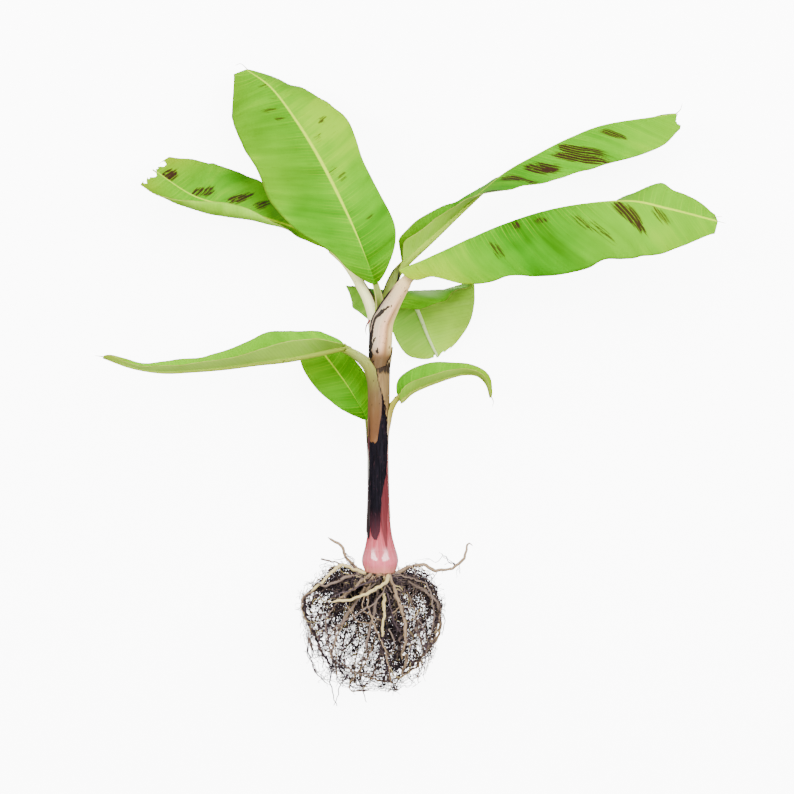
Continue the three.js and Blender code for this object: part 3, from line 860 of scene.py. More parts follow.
# %% The back leaf
note_leaf(
    "leaf_back",
    midrib=[
        (4, 222, -9), (8, 238, -15), (13, 252, -22), (20, 261, -31), (26, 266, -42), (31, 258, -51),
        (39, 241, -54), (47, 220, -52), (56, 201, -49),
    ],
    stalk=0.22, sweep=0, torn=4, across=(-1, 0, 0),
    half_a={
        "width": [16, 46, 64, 52, 38, 32, 30, 25, 10],
        "fold": [-14, -6, -6, -10, -8, -2, 0],
        "curl": [0],
    },
    half_b={
        "width": [16, 30, 42, 62, 66, 60, 50, 38, 16],
        "fold": [2, 2, -7, -18, -22, -9, 0],
        "curl": [-8, -8, -6, 0, 0],
    },
    stalk_line=[(-0.8, 190, -1, 9), (1.5, 212, -4, 8.4), (4.5, 226, -10, 5.6), (8, 238, -15, 4.4)],
    opening=[(-0.2, 0, 1), (-0.2, 0.3, 0.9)], wrap=[140, 112], rib=[3.8, 1.2],
    skin=[(0, "#A89060"), (0.6, "#94A050"), (1, "#C4D890")],
    dry=0.8, spots=0.2,
    dry_to=0.3, sun=([0.05], [0.35]),
    yellow=[0, 0, 0, 0, 0.05, 0.2, 0.5], pale=[0.2, 0.2, 0.3],
    wave=1.2, slant=([0.2], [0.2]),
    blooms=[(0.38, -0.4, 0.2, 0.7, 0.9)],
)

# %% [markdown]
# A real blade has no steps, so each list of measures becomes a function that reads it smoothly anywhere
# along the leaf. The width is also rounded off at the base and the tip, like the ends of an ellipse.

# %% Turn a leaf's measures into functions
BASE_ROUND = 0.1
TIP_ROUND = 0.06
LEAST_WIDTH = 0.4
LOBE_FROM = 0.8


def prepare_half(half, base_round, tip_round):
    """Width and forward reach in millimetres, fold and curl in radians, at shares along a half."""
    width, fold, curl = (even_steps(half[key]) for key in ("width", "fold", "curl"))
    lobe = half.get("lobe", 0)

    def rounded(share):
        from_base = 1 - np.minimum(share / base_round, 1)
        from_tip = 1 - np.minimum((1 - share) / tip_round, 1) if tip_round else 0
        narrowing = np.sqrt((1 - from_base ** 2) * (1 - from_tip ** 2))
        return np.maximum(width(share) * narrowing, LEAST_WIDTH)

    return (
        rounded, lambda share: np.radians(fold(share)), lambda share: np.radians(curl(share)),
        lambda share: lobe * ease(LOBE_FROM, 1, share),
    )


def prepare_leaf(leaf):
    """The leaf's measures, with its midrib as a curve and its two halves as functions."""
    curve, length = smooth_curve(leaf["midrib"])
    base_round, tip_round = leaf.get("base_round", BASE_ROUND), leaf.get("tip_round", TIP_ROUND)
    halves = {
        side: prepare_half(leaf[half], base_round, leaf[half].get("tip_round", tip_round))
        for side, half in ((1, "half_a"), (-1, "half_b"))
    }
    return {**leaf, "curve": curve, "length": length, "halves": halves}


print("narrowest that a half blade gets, mm", LEAST_WIDTH)

# %% [markdown]
# The blade's middle surface follows the same rule as the solids. A half leaves the midrib at its fold,
# and turns on by its curl to the margin, so its section is an arc, and the margins sweep towards the
# tip. On top of that comes the relief that only the thin blade has: a groove along the midrib, a low
# ridge at each side vein, and margins that wave.

# %% Build the blades' surface
TOWARDS_VIEWER = np.array((0.0, 0.0, 1.0))


def leaf_axes(leaf, along):
    """The midrib's place and heading at shares of the blade, and the level and upward directions."""
    place, heading = leaf["curve"](leaf["stalk"] + (1 - leaf["stalk"]) * along)
    right = np.cross(TOWARDS_VIEWER, heading) if "across" not in leaf else leaf["across"] + 0 * heading
    right = unit(right - np.sum(right * heading, -1, keepdims=True) * heading)
    return place, heading, right, np.cross(heading, right)


def blade_surface(leaf, along, across):
    """Points at shares along the blade and signed shares across it, in plant millimetres."""
    place, heading, right, face = leaf_axes(leaf, along)
    side = np.where(across >= 0, 1.0, -1.0)
    share = np.abs(across)
    width, fold, curl, lobe = (
        np.where(side > 0, a(along), b(along)) for a, b in zip(leaf["halves"][1], leaf["halves"][-1])
    )
    turn = curl * share / 2
    chord = width * share * np.sinc(turn / np.pi)
    level = side * chord * np.cos(fold + turn)
    raised = chord * np.sin(fold + turn)
    forward = leaf["sweep"] * width * share ** 2 * np.sqrt(1 - along) + lobe * share
    points = place + right * level[..., None] + face * raised[..., None] + heading * forward[..., None]
    return points, width * share


print("blade rule ready, for", len(LEAVES), "leaves")

# %% [markdown]
# A real blade waves at its margins and never lies straighter than a hand would fold it, so the rule
# above gets smooth waves that don't repeat. The grid's rows lie closer together at the two ends.


# %% Waves, rows and the floor under them
END_CROWDING = 0.6
FLOOR_GAP = 1.2


def waver(values, wavelength, phase):
    """A smooth wave that doesn't repeat exactly."""
    turns = 2 * np.pi * values / wavelength
    return 0.6 * np.sin(turns + phase) + 0.4 * np.sin(1.618 * turns + 2.4 * phase)


def crowd_ends(even):
    """Shares along that lie closer together at the base and tip, where the outline is round."""
    return even + END_CROWDING * ((1 - np.cos(np.pi * even)) / 2 - even)


def rest_on_floor(points):
    """World points, with those that would pass the floor lifted on to it."""
    world = to_world(points)
    world[:, 2] = np.maximum(world[:, 2], FLOOR_GAP * MM)
    return world


print("lowest that a leaf may lie, mm", FLOOR_GAP)


# %% Marks, torn tips and painted sheen
def mark_strength(leaf, along, across, slanted, out):
    """How strongly each point is marked: soft ovals that lie along the side veins."""
    blade_length = leaf["length"] * (1 - leaf["stalk"])
    strongest = np.zeros_like(along)
    for vein, mark_out, reach, breadth, strength in leaf.get("marks", ()):
        same_side = np.sign(across) == np.sign(mark_out)
        beside = (slanted - vein * blade_length) / (breadth / 2 + 1)
        away = np.hypot(beside, (out - abs(mark_out)) / (reach / 2 + 1))
        strongest = np.maximum(strongest, same_side * strength * (1 - ease(0.6, 1.7, away)))
    return strongest


def tears(across, phase):
    """How deep the tip is torn, from 0 to 1, at shares across it."""
    rough = np.array([
        noise.noise((3 * value, phase, 0)) + 0.35 * noise.noise((9 * value, phase, 7)) for value in across
    ])
    return np.clip(0.5 + rough, 0, 1)


def bloom(leaf, along, across):
    """A painted sheen, where the blade catches the light: soft whitish ovals of share along, across, both
    sizes, strength.
    """
    whitest = np.zeros_like(along)
    for centre_along, centre_across, length, breadth, strength in leaf.get("blooms", []):
        away = np.hypot((along - centre_along) / length, (across - centre_across) / breadth)
        whitest = np.maximum(whitest, strength * (1 - ease(0.2, 1.0, away)))
    return whitest


print("marks in all", sum(len(leaf.get("marks", ())) for leaf in LEAVES.values()))

# %% [markdown]
# Now a flat grid takes the blade's shape. The direction that faces out of it is found by looking a
# nudge further along and across, and the relief lifts each point that way. Every point also notes what
# the finishes need: its marks, its light, its distance from the margin and its width of midrib.

# %% The way a blade faces, and its relief
NUDGE = 0.004
RIB_TAPER = 0.7
END_FADE = 12
GROOVE_DEPTH = 1.1
VEIN_RELIEF = 0.16
WAVE_LENGTHS = (46, 27)
WAVE_SHARES = (0.7, 0.3)


def rib_radius(leaf, along):
    """The midrib's radius, which thins towards the tip."""
    return leaf["rib"][0] + (leaf["rib"][1] - leaf["rib"][0]) * along ** RIB_TAPER


def blade_facing(leaf, along, across):
    """The direction out of the blade, from points a nudge further along and across."""
    forward, _ = blade_surface(leaf, np.minimum(along + NUDGE, 1), across)
    back, _ = blade_surface(leaf, np.maximum(along - NUDGE, 0), across)
    wide, _ = blade_surface(leaf, along, np.clip(across + NUDGE, -1, 1))
    narrow, _ = blade_surface(leaf, along, np.clip(across - NUDGE, -1, 1))
    return unit(np.cross(forward - back, wide - narrow) + 1e-12)


def blade_relief(leaf, along, across, run, out, slanted, phase):
    """How far each point is lifted, by the midrib's groove, the veins' low ridges and the waves."""
    share = np.abs(across)
    ends = np.clip(np.minimum(along, 1 - along) * END_FADE, 0, 1)
    groove = -GROOVE_DEPTH * np.exp(-(out / (0.5 * rib_radius(leaf, along))) ** 2) * (1 - 0.7 * along)
    ridges = VEIN_RELIEF * np.cos(2 * np.pi * slanted / VEIN_SPACING) * ease(0, 0.15, share)
    waves = sum(
        amount * waver(run + 9 * across, length, phase + np.sign(across))
        for amount, length in zip(WAVE_SHARES, WAVE_LENGTHS)
    )
    return (groove + ridges) * ends + leaf["wave"] * waves * share ** 2 * ends


print("ridge at each side vein, mm", VEIN_RELIEF)

# %% Place a blade on its grid
BLADE_STEP = 1.5
BLADE_COLUMNS = 52
COLUMN_CROWDING = 1.2


def add_blade(bm, leaf, phase):
    """Adds the blade to a bmesh. Returns the numbers that its points carry."""
    blade_length = leaf["length"] * (1 - leaf["stalk"])
    made, even, spread = grid_sheet(bm, round(blade_length / BLADE_STEP), BLADE_COLUMNS, 0)
    across = np.sign(spread) * np.abs(spread) ** COLUMN_CROWDING
    along = crowd_ends(even) * (1 - leaf.get("torn", 0) / blade_length * tears(across, phase))
    points, out = blade_surface(leaf, along, across)
    full = np.where(across >= 0, leaf["halves"][1][0](along), leaf["halves"][-1][0](along))
    run = along * blade_length
    slant = np.where(across >= 0, *(even_steps(half)(along) for half in leaf["slant"]))
    slanted = run - slant * out
    lift = blade_relief(leaf, along, across, run, out, slanted, phase)
    lifted = points + blade_facing(leaf, along, across) * lift[:, None]
    for vertex, place in zip(made, rest_on_floor(lifted)):
        vertex.co = place
    values = {
        "mark": mark_strength(leaf, along, across, slanted, out),
        "yellow": even_steps(leaf["yellow"])(along) * (0.35 + 0.65 * np.abs(across)),
        # sun: the painted light and shade of each half, read from the leaf's list at even steps.
        "sun": np.where(across >= 0, *(even_steps(half)(along) for half in leaf["sun"])),
        "pale": even_steps(leaf["pale"])(along),
        "bloom": bloom(leaf, along, across),
        "margin": full - out,
        "rib": even_steps(leaf["rib_line"])(along) if "rib_line" in leaf else 0.5 * rib_radius(leaf, along),
        "reach": np.ones_like(along),
        "dry": np.zeros_like(along),
    }
    signed_out = np.where(across >= 0, out, -out)
    return values, np.stack([slanted, signed_out], -1) / MAP_UNIT


print("blade maker ready")

# %% [markdown]
# The stalk is a sheet rolled into a trough round its own line. Its section is an arc that leaves a gap
# where the trough opens. At the bottom the arc wraps the stem as a sheath, and past the blade's base
# it goes on as the half-round ridge under the midrib, which fills the angle between the two halves.

# %% The line that a stalk follows
RIDGE_KNOTS = 9
SHEATH_KNOTS = 3
LEAST_WRAP = 28
RIDGE_SINK = 1.0


def ridge_angles(leaf, along):
    """The direction that the blade opens to, and how far the ridge reaches each way, in radians."""
    _, _, right, face = leaf_axes(leaf, along)
    angle_a = leaf["halves"][1][1](along)
    angle_b = np.pi - leaf["halves"][-1][1](along)
    middle = (angle_a + angle_b) / 2
    wrap = np.pi - (angle_b - angle_a) / 2
    opening = right * np.cos(middle)[:, None] + face * np.sin(middle)[:, None]
    return opening, np.maximum(wrap, math.radians(LEAST_WRAP))


def stalk_knots(leaf):
    """The stalk's line with its radius, opening and wrap at each knot, on to the midrib's tip."""
    line = np.array(leaf["stalk_line"], float)
    along = np.linspace(leaf.get("ridge_from", 0), 1, RIDGE_KNOTS)
    place, _, _, _ = leaf_axes(leaf, along)
    radius = rib_radius(leaf, along)
    opening, wrap = ridge_angles(leaf, along)
    place = place - leaf.get("sink", RIDGE_SINK) * opening * np.minimum(1, 0.3 + 4 * along)[:, None]
    knots = np.vstack([line, np.column_stack([place, radius])])
    bare = len(line)
    keys = [0, SHEATH_KNOTS - 1, (SHEATH_KNOTS + bare) / 2, bare]
    stem_side, petiole = (np.array(vector, float) for vector in leaf["opening"])
    steps = np.arange(bare)
    opened = np.column_stack([
        np.interp(steps, keys, [stem_side[k], stem_side[k], petiole[k], opening[0][k]]) for k in range(3)
    ])
    wraps = np.radians(leaf["wrap"])
    wrapped = np.interp(steps, keys, [wraps[0], wraps[0], wraps[1], wraps[1]])
    openings = np.vstack([opened, opening])
    wrap_all = np.concatenate([wrapped, wrap])
    lengths = np.concatenate([[0], np.cumsum(np.linalg.norm(np.diff(knots[:, :3], axis=0), axis=1))])
    return knots, openings, wrap_all, lengths, lengths[bare]


print("stalk line ready")

# %% [markdown]
# A wounded sheath bleeds a sap that dries black, so stains run over it as strokes with soft edges. They
# could be painted by hand on a picture, but a few strokes are noted instead, and each point of the
# sheet takes its stain from its distance to the stroke's middle line.


# %% Stain a sheath
def stain_strength(leaf, flat, wrap, radius):
    """How strongly each place on the flattened sheath is stained."""
    strongest = np.zeros(len(flat))
    for one_end, other_end, half_width, strength in leaf.get("stains", []):
        ends = np.array([(along, side * wrap * radius) for along, side in (one_end, other_end)])
        stroke = ends[1] - ends[0]
        on_stroke = np.clip((flat - ends[0]) @ stroke / (stroke @ stroke), 0, 1)
        away = np.linalg.norm(flat - ends[0] - on_stroke[:, None] * stroke, axis=1)
        strongest = np.maximum(strongest, strength * (1 - ease(0.5, 1.6, away / half_width)))
    return strongest


print("stains in all", sum(len(leaf.get("stains", [])) for leaf in LEAVES.values()))

# %% [markdown]
# The sheet's rows run from the sheath's hem up to the midrib's tip, with most of them in the bare
# stalk, where the shape changes fastest. The hem is torn a little, and the margins are frayed.

# %% Roll a stalk with its sheath
STALK_ROWS = 190
STALK_COLUMNS = 30
BARE_ROWS = 0.7
FRAY_SIZE = 9
RIB_COUNT = 9
RIB_RELIEF = 0.012


def add_stalk(bm, leaf, phase, seed):
    """Adds the sheath, stalk and midrib ridge to a bmesh. Returns the numbers that its points carry."""
    knots, openings, wraps, lengths, bare_length = stalk_knots(leaf)
    made, even, spread = grid_sheet(bm, STALK_ROWS, STALK_COLUMNS, 3)
    curve, total = smooth_curve(knots)
    hem = even_steps(leaf.get("hem", [0]))((spread + 1) / 2)
    ragged = leaf.get("ragged", 0) * np.array([
        noise.noise((7 * across, seed, 0)) + 0.5 * noise.noise((23 * across, seed, 5)) for across in spread
    ])
    start = np.maximum(hem + ragged, 0) / total
    bare = bare_length / lengths[-1]
    past_bare = (even - BARE_ROWS) / (1 - BARE_ROWS)
    crowded = np.where(even < BARE_ROWS, even / BARE_ROWS * bare, bare + past_bare * (1 - bare))
    share = start + (1 - start) * crowded
    place, heading = curve(share)
    at = share * lengths[-1]
    opening = np.column_stack([np.interp(at, lengths, openings[:, k]) for k in range(3)])
    opening = unit(opening - np.sum(opening * heading, -1, keepdims=True) * heading)
    beside = np.cross(heading, opening)
    sheath = 1 - ease(0.0, 1.0, at / bare_length)
    fray = np.array([noise.noise((value / FRAY_SIZE, seed, 3)) for value in at])
    wrap = np.interp(at, lengths, wraps) * (1 + leaf.get("fray", 0.03) * fray * sheath)
    angle = spread * wrap
    radius = place[:, 3] * (1 + RIB_RELIEF * np.sin(RIB_COUNT * angle + phase))
    out = beside * np.sin(angle)[:, None] - opening * np.cos(angle)[:, None]
    for vertex, point in zip(made, rest_on_floor(place[:, :3] + out * radius[:, None])):
        vertex.co = point
    flat = np.stack([at, spread * wrap * radius], -1)
    values = {
        "mark": stain_strength(leaf, flat, wraps[0], knots[1][3]),
        "yellow": np.zeros_like(at),
        # On a stalk sun is only the share round it. It picks the round colours, and one of them is a painted
        # highlight.
        "sun": (spread + 1) / 2,
        "pale": np.zeros_like(at),
        "bloom": np.zeros_like(at),
        "margin": (1 - np.abs(spread)) * wrap * radius,
        "rib": np.zeros_like(at),
        "reach": np.clip(at / bare_length, 0, 1),
        "dry": 1 - ease(leaf["dry_to"] - 0.08, leaf["dry_to"] + 0.001, at / bare_length),
    }
    return values, np.stack([at, angle * radius], -1) / MAP_UNIT


print("stalk maker ready")

# %% [markdown]
# Blade and stalk grow together, so each leaf is one piece. A vertex group tells the Solidify modifier
# that the blade is thinner than the stalk.

# %% Grow the leaves
BLADE_THICKNESS = 0.45
STALK_THICKNESS = 1.0
DRY_EDGE = "#140B0E"
LEAF_PHASE = 1.7


def grow_leaf(name, leaf, index):
    """One leaf as one piece: its blade and its stalk, each with its own finishes and thickness."""
    ready = prepare_leaf(leaf)
    bm = bmesh.new()
    blade_values, blade_map = add_blade(bm, ready, LEAF_PHASE * index)
    stalk_values, stalk_map = add_stalk(bm, ready, LEAF_PHASE * index, index)
    skin = stalk_skin(
        f"{name}_skin", leaf["skin"], leaf["dry"], leaf["spots"],
        leaf.get("round_skin"), leaf.get("edge", DRY_EDGE),
    )
    finishes = [upper_face, under_face, blade_rim, skin, channel, dry_margin]
    piece = new_piece(f"{name}_grown", bm, finishes, [name])
    for key in blade_values:
        carry(piece.data, key, np.concatenate([blade_values[key], stalk_values[key]]))
    lay_out(piece.data, "blade", np.vstack([blade_map, stalk_map]))
    thick = piece.vertex_groups.new(name="thick")
    count = len(blade_map)
    thick.add(list(range(count, count + len(stalk_map))), 1.0, "REPLACE")
    thick.add(list(range(count)), BLADE_THICKNESS / STALK_THICKNESS, "REPLACE")
    shell = piece.modifiers.new("thickness", "SOLIDIFY")
    shell.thickness = STALK_THICKNESS * MM
    shell.offset = -1
    shell.vertex_group = "thick"
    shell.material_offset = 1
    shell.material_offset_rim = 2
    return piece


for leaf_index, (leaf_name, leaf_measures) in enumerate(LEAVES.items()):
    grown = grow_leaf(leaf_name, leaf_measures, leaf_index)
    print(grown.name, "faces", len(grown.data.polygons))

# %% [markdown]
# What looks like the stem is leaf sheaths wrapped round each other, and it swells to a bulb at the foot.
# The bulb is young, pink and waxy, so it shines. Its outline is turned round the stem's line, as on a
# lathe, with a few slight dents, because a grown thing is never quite round.

# %% The false stem's outline
STEM_PROFILE = [
    (-15, 5), (-12, 9.5), (-6, 13.5), (0, 15.6), (3, 17.2), (7, 17.8), (12.4, 16.8), (20.7, 14.1),
    (31, 11.9), (48, 10.4), (90, 9.6), (150, 9.2), (198, 9), (240, 8),
]
STEM_MIDDLE = [(12, 0.3), (31, -0.4), (48, -0.9), (120, -1.6), (190, -1.4), (212, 0.2), (240, 0)]


def stem_radius(height):
    heights, radii = zip(*STEM_PROFILE)
    return np.interp(height, heights, radii)


def stem_middle(height):
    """How far right the stem's line is: it leans a little to the left above the bulb."""
    return np.interp(height, *zip(*STEM_MIDDLE))


print("stem's widest radius, mm", max(radius for _, radius in STEM_PROFILE))

# %% [markdown]
# Its skin is painted by height, from the brown scar under the bulb, through pink, to maroon. A wedge
# of darker skin runs down the right of the front, where an older sheath has kept the light off.

# %% Finish of the false stem
STEM_COLOUR_SPAN = (-15, 105)
STEM_COLOURS = [
    (0.0, "#3A2418"), (0.06, "#5A4030"), (0.1, "#D08070"), (0.16, "#D86272"), (0.28, "#B04652"),
    (0.4, "#963A42"), (0.6, "#6C2A2E"), (0.9, "#572428"),
]
WEDGE_ANGLE = 27
WEDGE_FOOT = 20
WEDGE_SPREAD = 0.7
WAX_FADES = (13, 23)
WAX = {"Roughness": (0.12, 0.5), "Specular IOR Level": (0.7, 0.1), "Coat Weight": (0.8, 0)}


def stem_skin():
    """Living sheath skin. On the bulb it is young and coated with clear wax, so it shines like glazed china,
    and above it turns dull maroon, with faint stripes and flecks."""
    material, tree, shader = new_finish("bulb_wax_skin", Coat_Roughness=0.06)
    angle, height = flat_map(tree, "stem")
    bottom, top = STEM_COLOUR_SPAN
    skin = add(tree, "ValToRGB", add(tree, "MapRange", height, bottom, top), stops=STEM_COLOURS)
    beside = add(tree, "Math", add(tree, "Math", angle, WEDGE_ANGLE, **LESS), operation="ABSOLUTE")
    rise = add(tree, "Math", add(tree, "Math", height, WEDGE_FOOT, **LESS), WEDGE_SPREAD, **PRODUCT)
    wedge = add(tree, "MapRange", add(tree, "Math", beside, rise, **LESS), 0, 6, 1, 0, **EASED)
    maroon = add(tree, "Math", wedge, add(tree, "MapRange", height, 84, 100, 1, 0, **EASED), **PRODUCT)
    skin = paint(
        tree, skin, ("#E88A90", stretched_noise(tree, angle, height, 9, 30, 3.0), 0.4, 0.7, 0, 0.35),
        ("#561C20", add(tree, "Math", maroon, 0.85, **PRODUCT)),
        ("#82343C", stretched_noise(tree, angle, height, 3, 5, 2.0, 8.0), 0.62, 0.7, 0, 0.5),
    )
    feed(shader, Base_Color=skin)
    for socket, (glossy, dull) in WAX.items():
        feed(shader, **{socket: add(tree, "MapRange", height, *WAX_FADES, glossy, dull, **EASED)})
    return material


bulb_skin = stem_skin()
print("finish", bulb_skin.name)

# %% [markdown]
# The outline becomes a chain of edges, and spin turns it once round. Its top and bottom lie on the
# axis, so the ends close, and their doubled points are merged.

# %% Turn the false stem on its line
STEM_SEGMENTS = 96
STEM_ROWS = 260
SMOOTHED_OVER = 9
DENT_SHARE = 0.03

bm = bmesh.new()
bottom, top = STEM_PROFILE[0][0], STEM_PROFILE[-1][0]
heights = np.linspace(bottom, top, STEM_ROWS)
padded = np.pad(stem_radius(heights), SMOOTHED_OVER // 2, "edge")
smooth_radii = np.convolve(padded, np.ones(SMOOTHED_OVER) / SMOOTHED_OVER, "valid")
outline = [(0, bottom), *zip(smooth_radii, heights), (0, top)]
profile = [bm.verts.new((radius, height, 0)) for radius, height in outline]
edges = [bm.edges.new(pair) for pair in zip(profile, profile[1:])]
bmesh.ops.spin(
    bm, geom=profile + edges, cent=(0, 0, 0), axis=(0, 1, 0), angle=math.tau,
    steps=STEM_SEGMENTS, use_merge=True,
)
bmesh.ops.remove_doubles(bm, verts=bm.verts, dist=0.01)
bmesh.ops.recalc_face_normals(bm, faces=bm.faces)
turned = np.array([vertex.co for vertex in bm.verts])
angles = np.degrees(np.arctan2(turned[:, 0], turned[:, 2]))
dents = np.array([noise.noise((x / 14, y / 22, z / 14)) for x, y, z in turned])
sideways = turned * (1, 0, 1)
turned = turned + sideways * (DENT_SHARE * dents)[:, None]
turned[:, 0] += stem_middle(turned[:, 1])
for vertex, place in zip(bm.verts, to_world(turned)):
    vertex.co = place
for face in bm.faces:
    face.smooth = True
stem = new_piece("pseudostem_grown", bm, [bulb_skin], ["pseudostem"])
lay_out(stem.data, "stem", np.stack([angles, turned[:, 1]], -1) / MAP_UNIT)
print(stem.name, "faces", len(stem.data.polygons))

# %% [markdown]
# Two sheaths lie round the stem as sheets of their own. Such a sheet is bent from a flat grid between
# two edges, whose angles round the stem are noted at heights, zero towards the viewer, and noise tears
# its edges. One function bends both.


# %% Bend a sheet round the stem
def bend_sheet(name, edges, rows, columns, tears_at, reach, thickness, finish):
    """A torn sheet round the stem. The tears have a size, a seed and a depth at each edge, and reach gives
    the sheet's distance from the stem's line at heights and shares across."""
    bm = bmesh.new()
    made, even, spread = grid_sheet(bm, rows, columns, 0)
    levels, left_edge, right_edge = np.array(edges, float).T
    height = levels[0] + even * (levels[-1] - levels[0])
    size, seed, left_depth, right_depth = tears_at
    tear = np.array([noise.noise((value / size, side, seed)) for value, side in zip(height, spread)])
    left = np.interp(height, levels, left_edge) + left_depth * tear
    right = np.interp(height, levels, right_edge) + right_depth * tear
    angle = np.radians(left + (right - left) * (spread + 1) / 2)
    radius = reach(height, spread)
    bent = np.stack([radius * np.sin(angle) + stem_middle(height), height, radius * np.cos(angle)], -1)
    for vertex, place in zip(made, to_world(bent)):
        vertex.co = place
    piece = new_piece(name, bm, [finish])
    lay_out(piece.data, "stem", np.stack([np.degrees(angle), height], -1) / MAP_UNIT)
    carry(piece.data, "margin", (angle - np.radians(left)) * radius)
    shell = piece.modifiers.new("thickness", "SOLIDIFY")
    shell.thickness = thickness * MM
    shell.offset = 0
    print(piece.name, "faces", len(piece.data.polygons))


print("sheet bender ready")

# %% [markdown]
# The oldest sheath has died. It clings to the front of the stem as a thin black skin with torn edges,
# dry at the top, and thin enough low down that the pink shows through.


# %% Finish of the dead sheath
def dead_skin():
    """A sheath that died and dried to a skin. It gives the eye a wrinkled, nearly black film with a dull
    sheen, brown in patches, and thin enough low down to let the pink through."""
    material, tree, shader = new_finish("dead_sheath_skin", Roughness=0.28, IOR=1.4, Specular_IOR_Level=0.04)
    angle, height = flat_map(tree, "stem")
    grain = stretched_noise(tree, angle, height, 7, 24, 3.0)
    thin = add(tree, "Math", height, add(tree, "Math", grain, 18, **PRODUCT), **SUM)
    skin = paint(
        tree, "#07060A", ("#16131A", grain, 0.35, 0.65),
        ("#38242A", stretched_noise(tree, angle, height, 9, 6, 3.0, 4.0), 0.6, 0.66, 0, 0.6),
        ("#442028", thin, 38, 68, 0.9, 0),
    )
    wrinkle = add(tree, "Bump", Height=grain, Strength=0.6, Distance=0.8 * MM)
    feed(shader, Base_Color=skin, Normal=wrinkle)
    return material


dead_finish = dead_skin()
print("finish", dead_finish.name)

# %% Wrap the dead sheath round the stem
DEAD_SHEATH = [
    (28, -22, -10), (31, -32, -6), (36, -42, 3), (44, -50, 6), (54, -60, 9), (72, -62, 18),
    (84, -60, 33), (90, -58, 45), (108, -56, 53), (119, -55, 62), (135, -55, 66), (150, -55, 66),
]
DEAD_LIFT = 0.65
DEAD_THICKNESS = 0.4


def dead_reach(height, spread):
    """Just off the stem, with margins that stand away a little."""
    return np.interp(height, heights, smooth_radii) + DEAD_LIFT + 0.15 * np.abs(spread) ** 6


bend_sheet(
    "dead_sheath", DEAD_SHEATH, 220, 60, (7, 0, 4, 6), dead_reach, DEAD_THICKNESS, dead_finish,
)

# %% [markdown]
# The sheath of the low left leaf closes round the stem. Its far margin crosses the front as a dark,
# frayed line, and climbs to a point on the right, where it clasps the sheath of the leaf inside it.


# %% Finish of the flap
def flap_skin():
    """A living sheath that dries from its margin inwards. It gives the eye matt brown paper, straw-coloured
    where it clasps the next stalk, with a black, frayed edge and black blots."""
    material, tree, shader = new_finish("papery_sheath_skin", Roughness=0.5, IOR=1.4, Specular_IOR_Level=0.06)
    angle, height = flat_map(tree, "stem")
    margin = add(tree, "Attribute", take="Fac", attribute_name="margin")
    grain = stretched_noise(tree, angle, height, 6, 22, 3.0)
    high = add(tree, "MapRange", height, 192, 204, **EASED)
    beside = add(tree, "Math", add(tree, "Math", height, 190, **LESS), operation="ABSOLUTE")
    band = add(tree, "MapRange", beside, 1, 10, 1, 0, **EASED)
    stir = add(tree, "Math", add(tree, "Math", grain, 0.5, **LESS), 2.4, **PRODUCT)
    torn = stretched_noise(tree, angle, height, 5, 7, 3.0, 2.0)
    near = add(tree, "Math", margin, add(tree, "Math", torn, -7, **PRODUCT), **SUM)
    blot = add(tree, "MapRange", stretched_noise(tree, angle, height, 8, 10, 3.0, 5.0), 0.6, 0.66, **EASED)
    skin = paint(
        tree, "#6E583A", ("#8A7048", grain, 0.35, 0.65), ("#C8B888", high),
        ("#161013", add(tree, "Math", band, stir, **SUM), 0.45, 0.75, 0, 0.9),
        ("#120B0D", near, -3.2, -2.4, 1, 0), ("#1A1012", add(tree, "Math", blot, high, **PRODUCT)),
    )
    feed(shader, Base_Color=skin)
    return material


flap_finish = flap_skin()
print("finish", flap_finish.name)

# %% Close the front sheath with its far flap
FLAP = [
    (140, 44, 140), (153, 37, 148), (163, 22, 150), (174, 4, 150), (184, -11, 150), (189, -14, 150),
    (190.5, 12, 150), (192, 34, 150), (198, 54, 150), (203, 76, 150), (210, 86, 150),
]
FLAP_RADIUS = [(140, 10.4), (175, 10.6), (190, 10.9), (200, 11.7), (210, 12.2)]
FLAP_THICKNESS = 0.5


def flap_reach(height, spread):
    return np.interp(height, *np.array(FLAP_RADIUS, float).T)


bend_sheet(
    "sheath_flap", FLAP, 200, 60, (5, 9, 7, 0), flap_reach, FLAP_THICKNESS, flap_finish,
)

# %% [markdown]
# The roots grew round and round in a pot about 130 mm wide, and kept its shape when it came off. So
# the pot's wall is a rule here: a rounded block, between a ball and a box, that no root passes.

# %% The pot that shaped the roots
POT_CENTRE = np.array((-8.5, -56.0, 0.0))
POT_HALF = np.array((66.0, 58.0, 60.3))
POT_ROUNDNESS = 4


def pot_size(point):
    """How far out a point is, where 1 is on the wall of the pot."""
    away = np.abs((point - POT_CENTRE) / POT_HALF)
    return (away ** POT_ROUNDNESS).sum() ** (1 / POT_ROUNDNESS)


def press_into_pot(point, room=1.0):
    """Brings a point that would pass the wall of the pot back to it."""
    return POT_CENTRE + (point - POT_CENTRE) / max(pot_size(point) / room, 1)


print("pot, mm", POT_HALF * 2)

# %% [markdown]
# The thick roots leave the corm in four quarters. Those that were seen well enough are laid through a
# few points, with the number of their colour, and the rest are grown by a rule. That rule is the one that
# the imported solids follow, so both have the same roots at the same places.

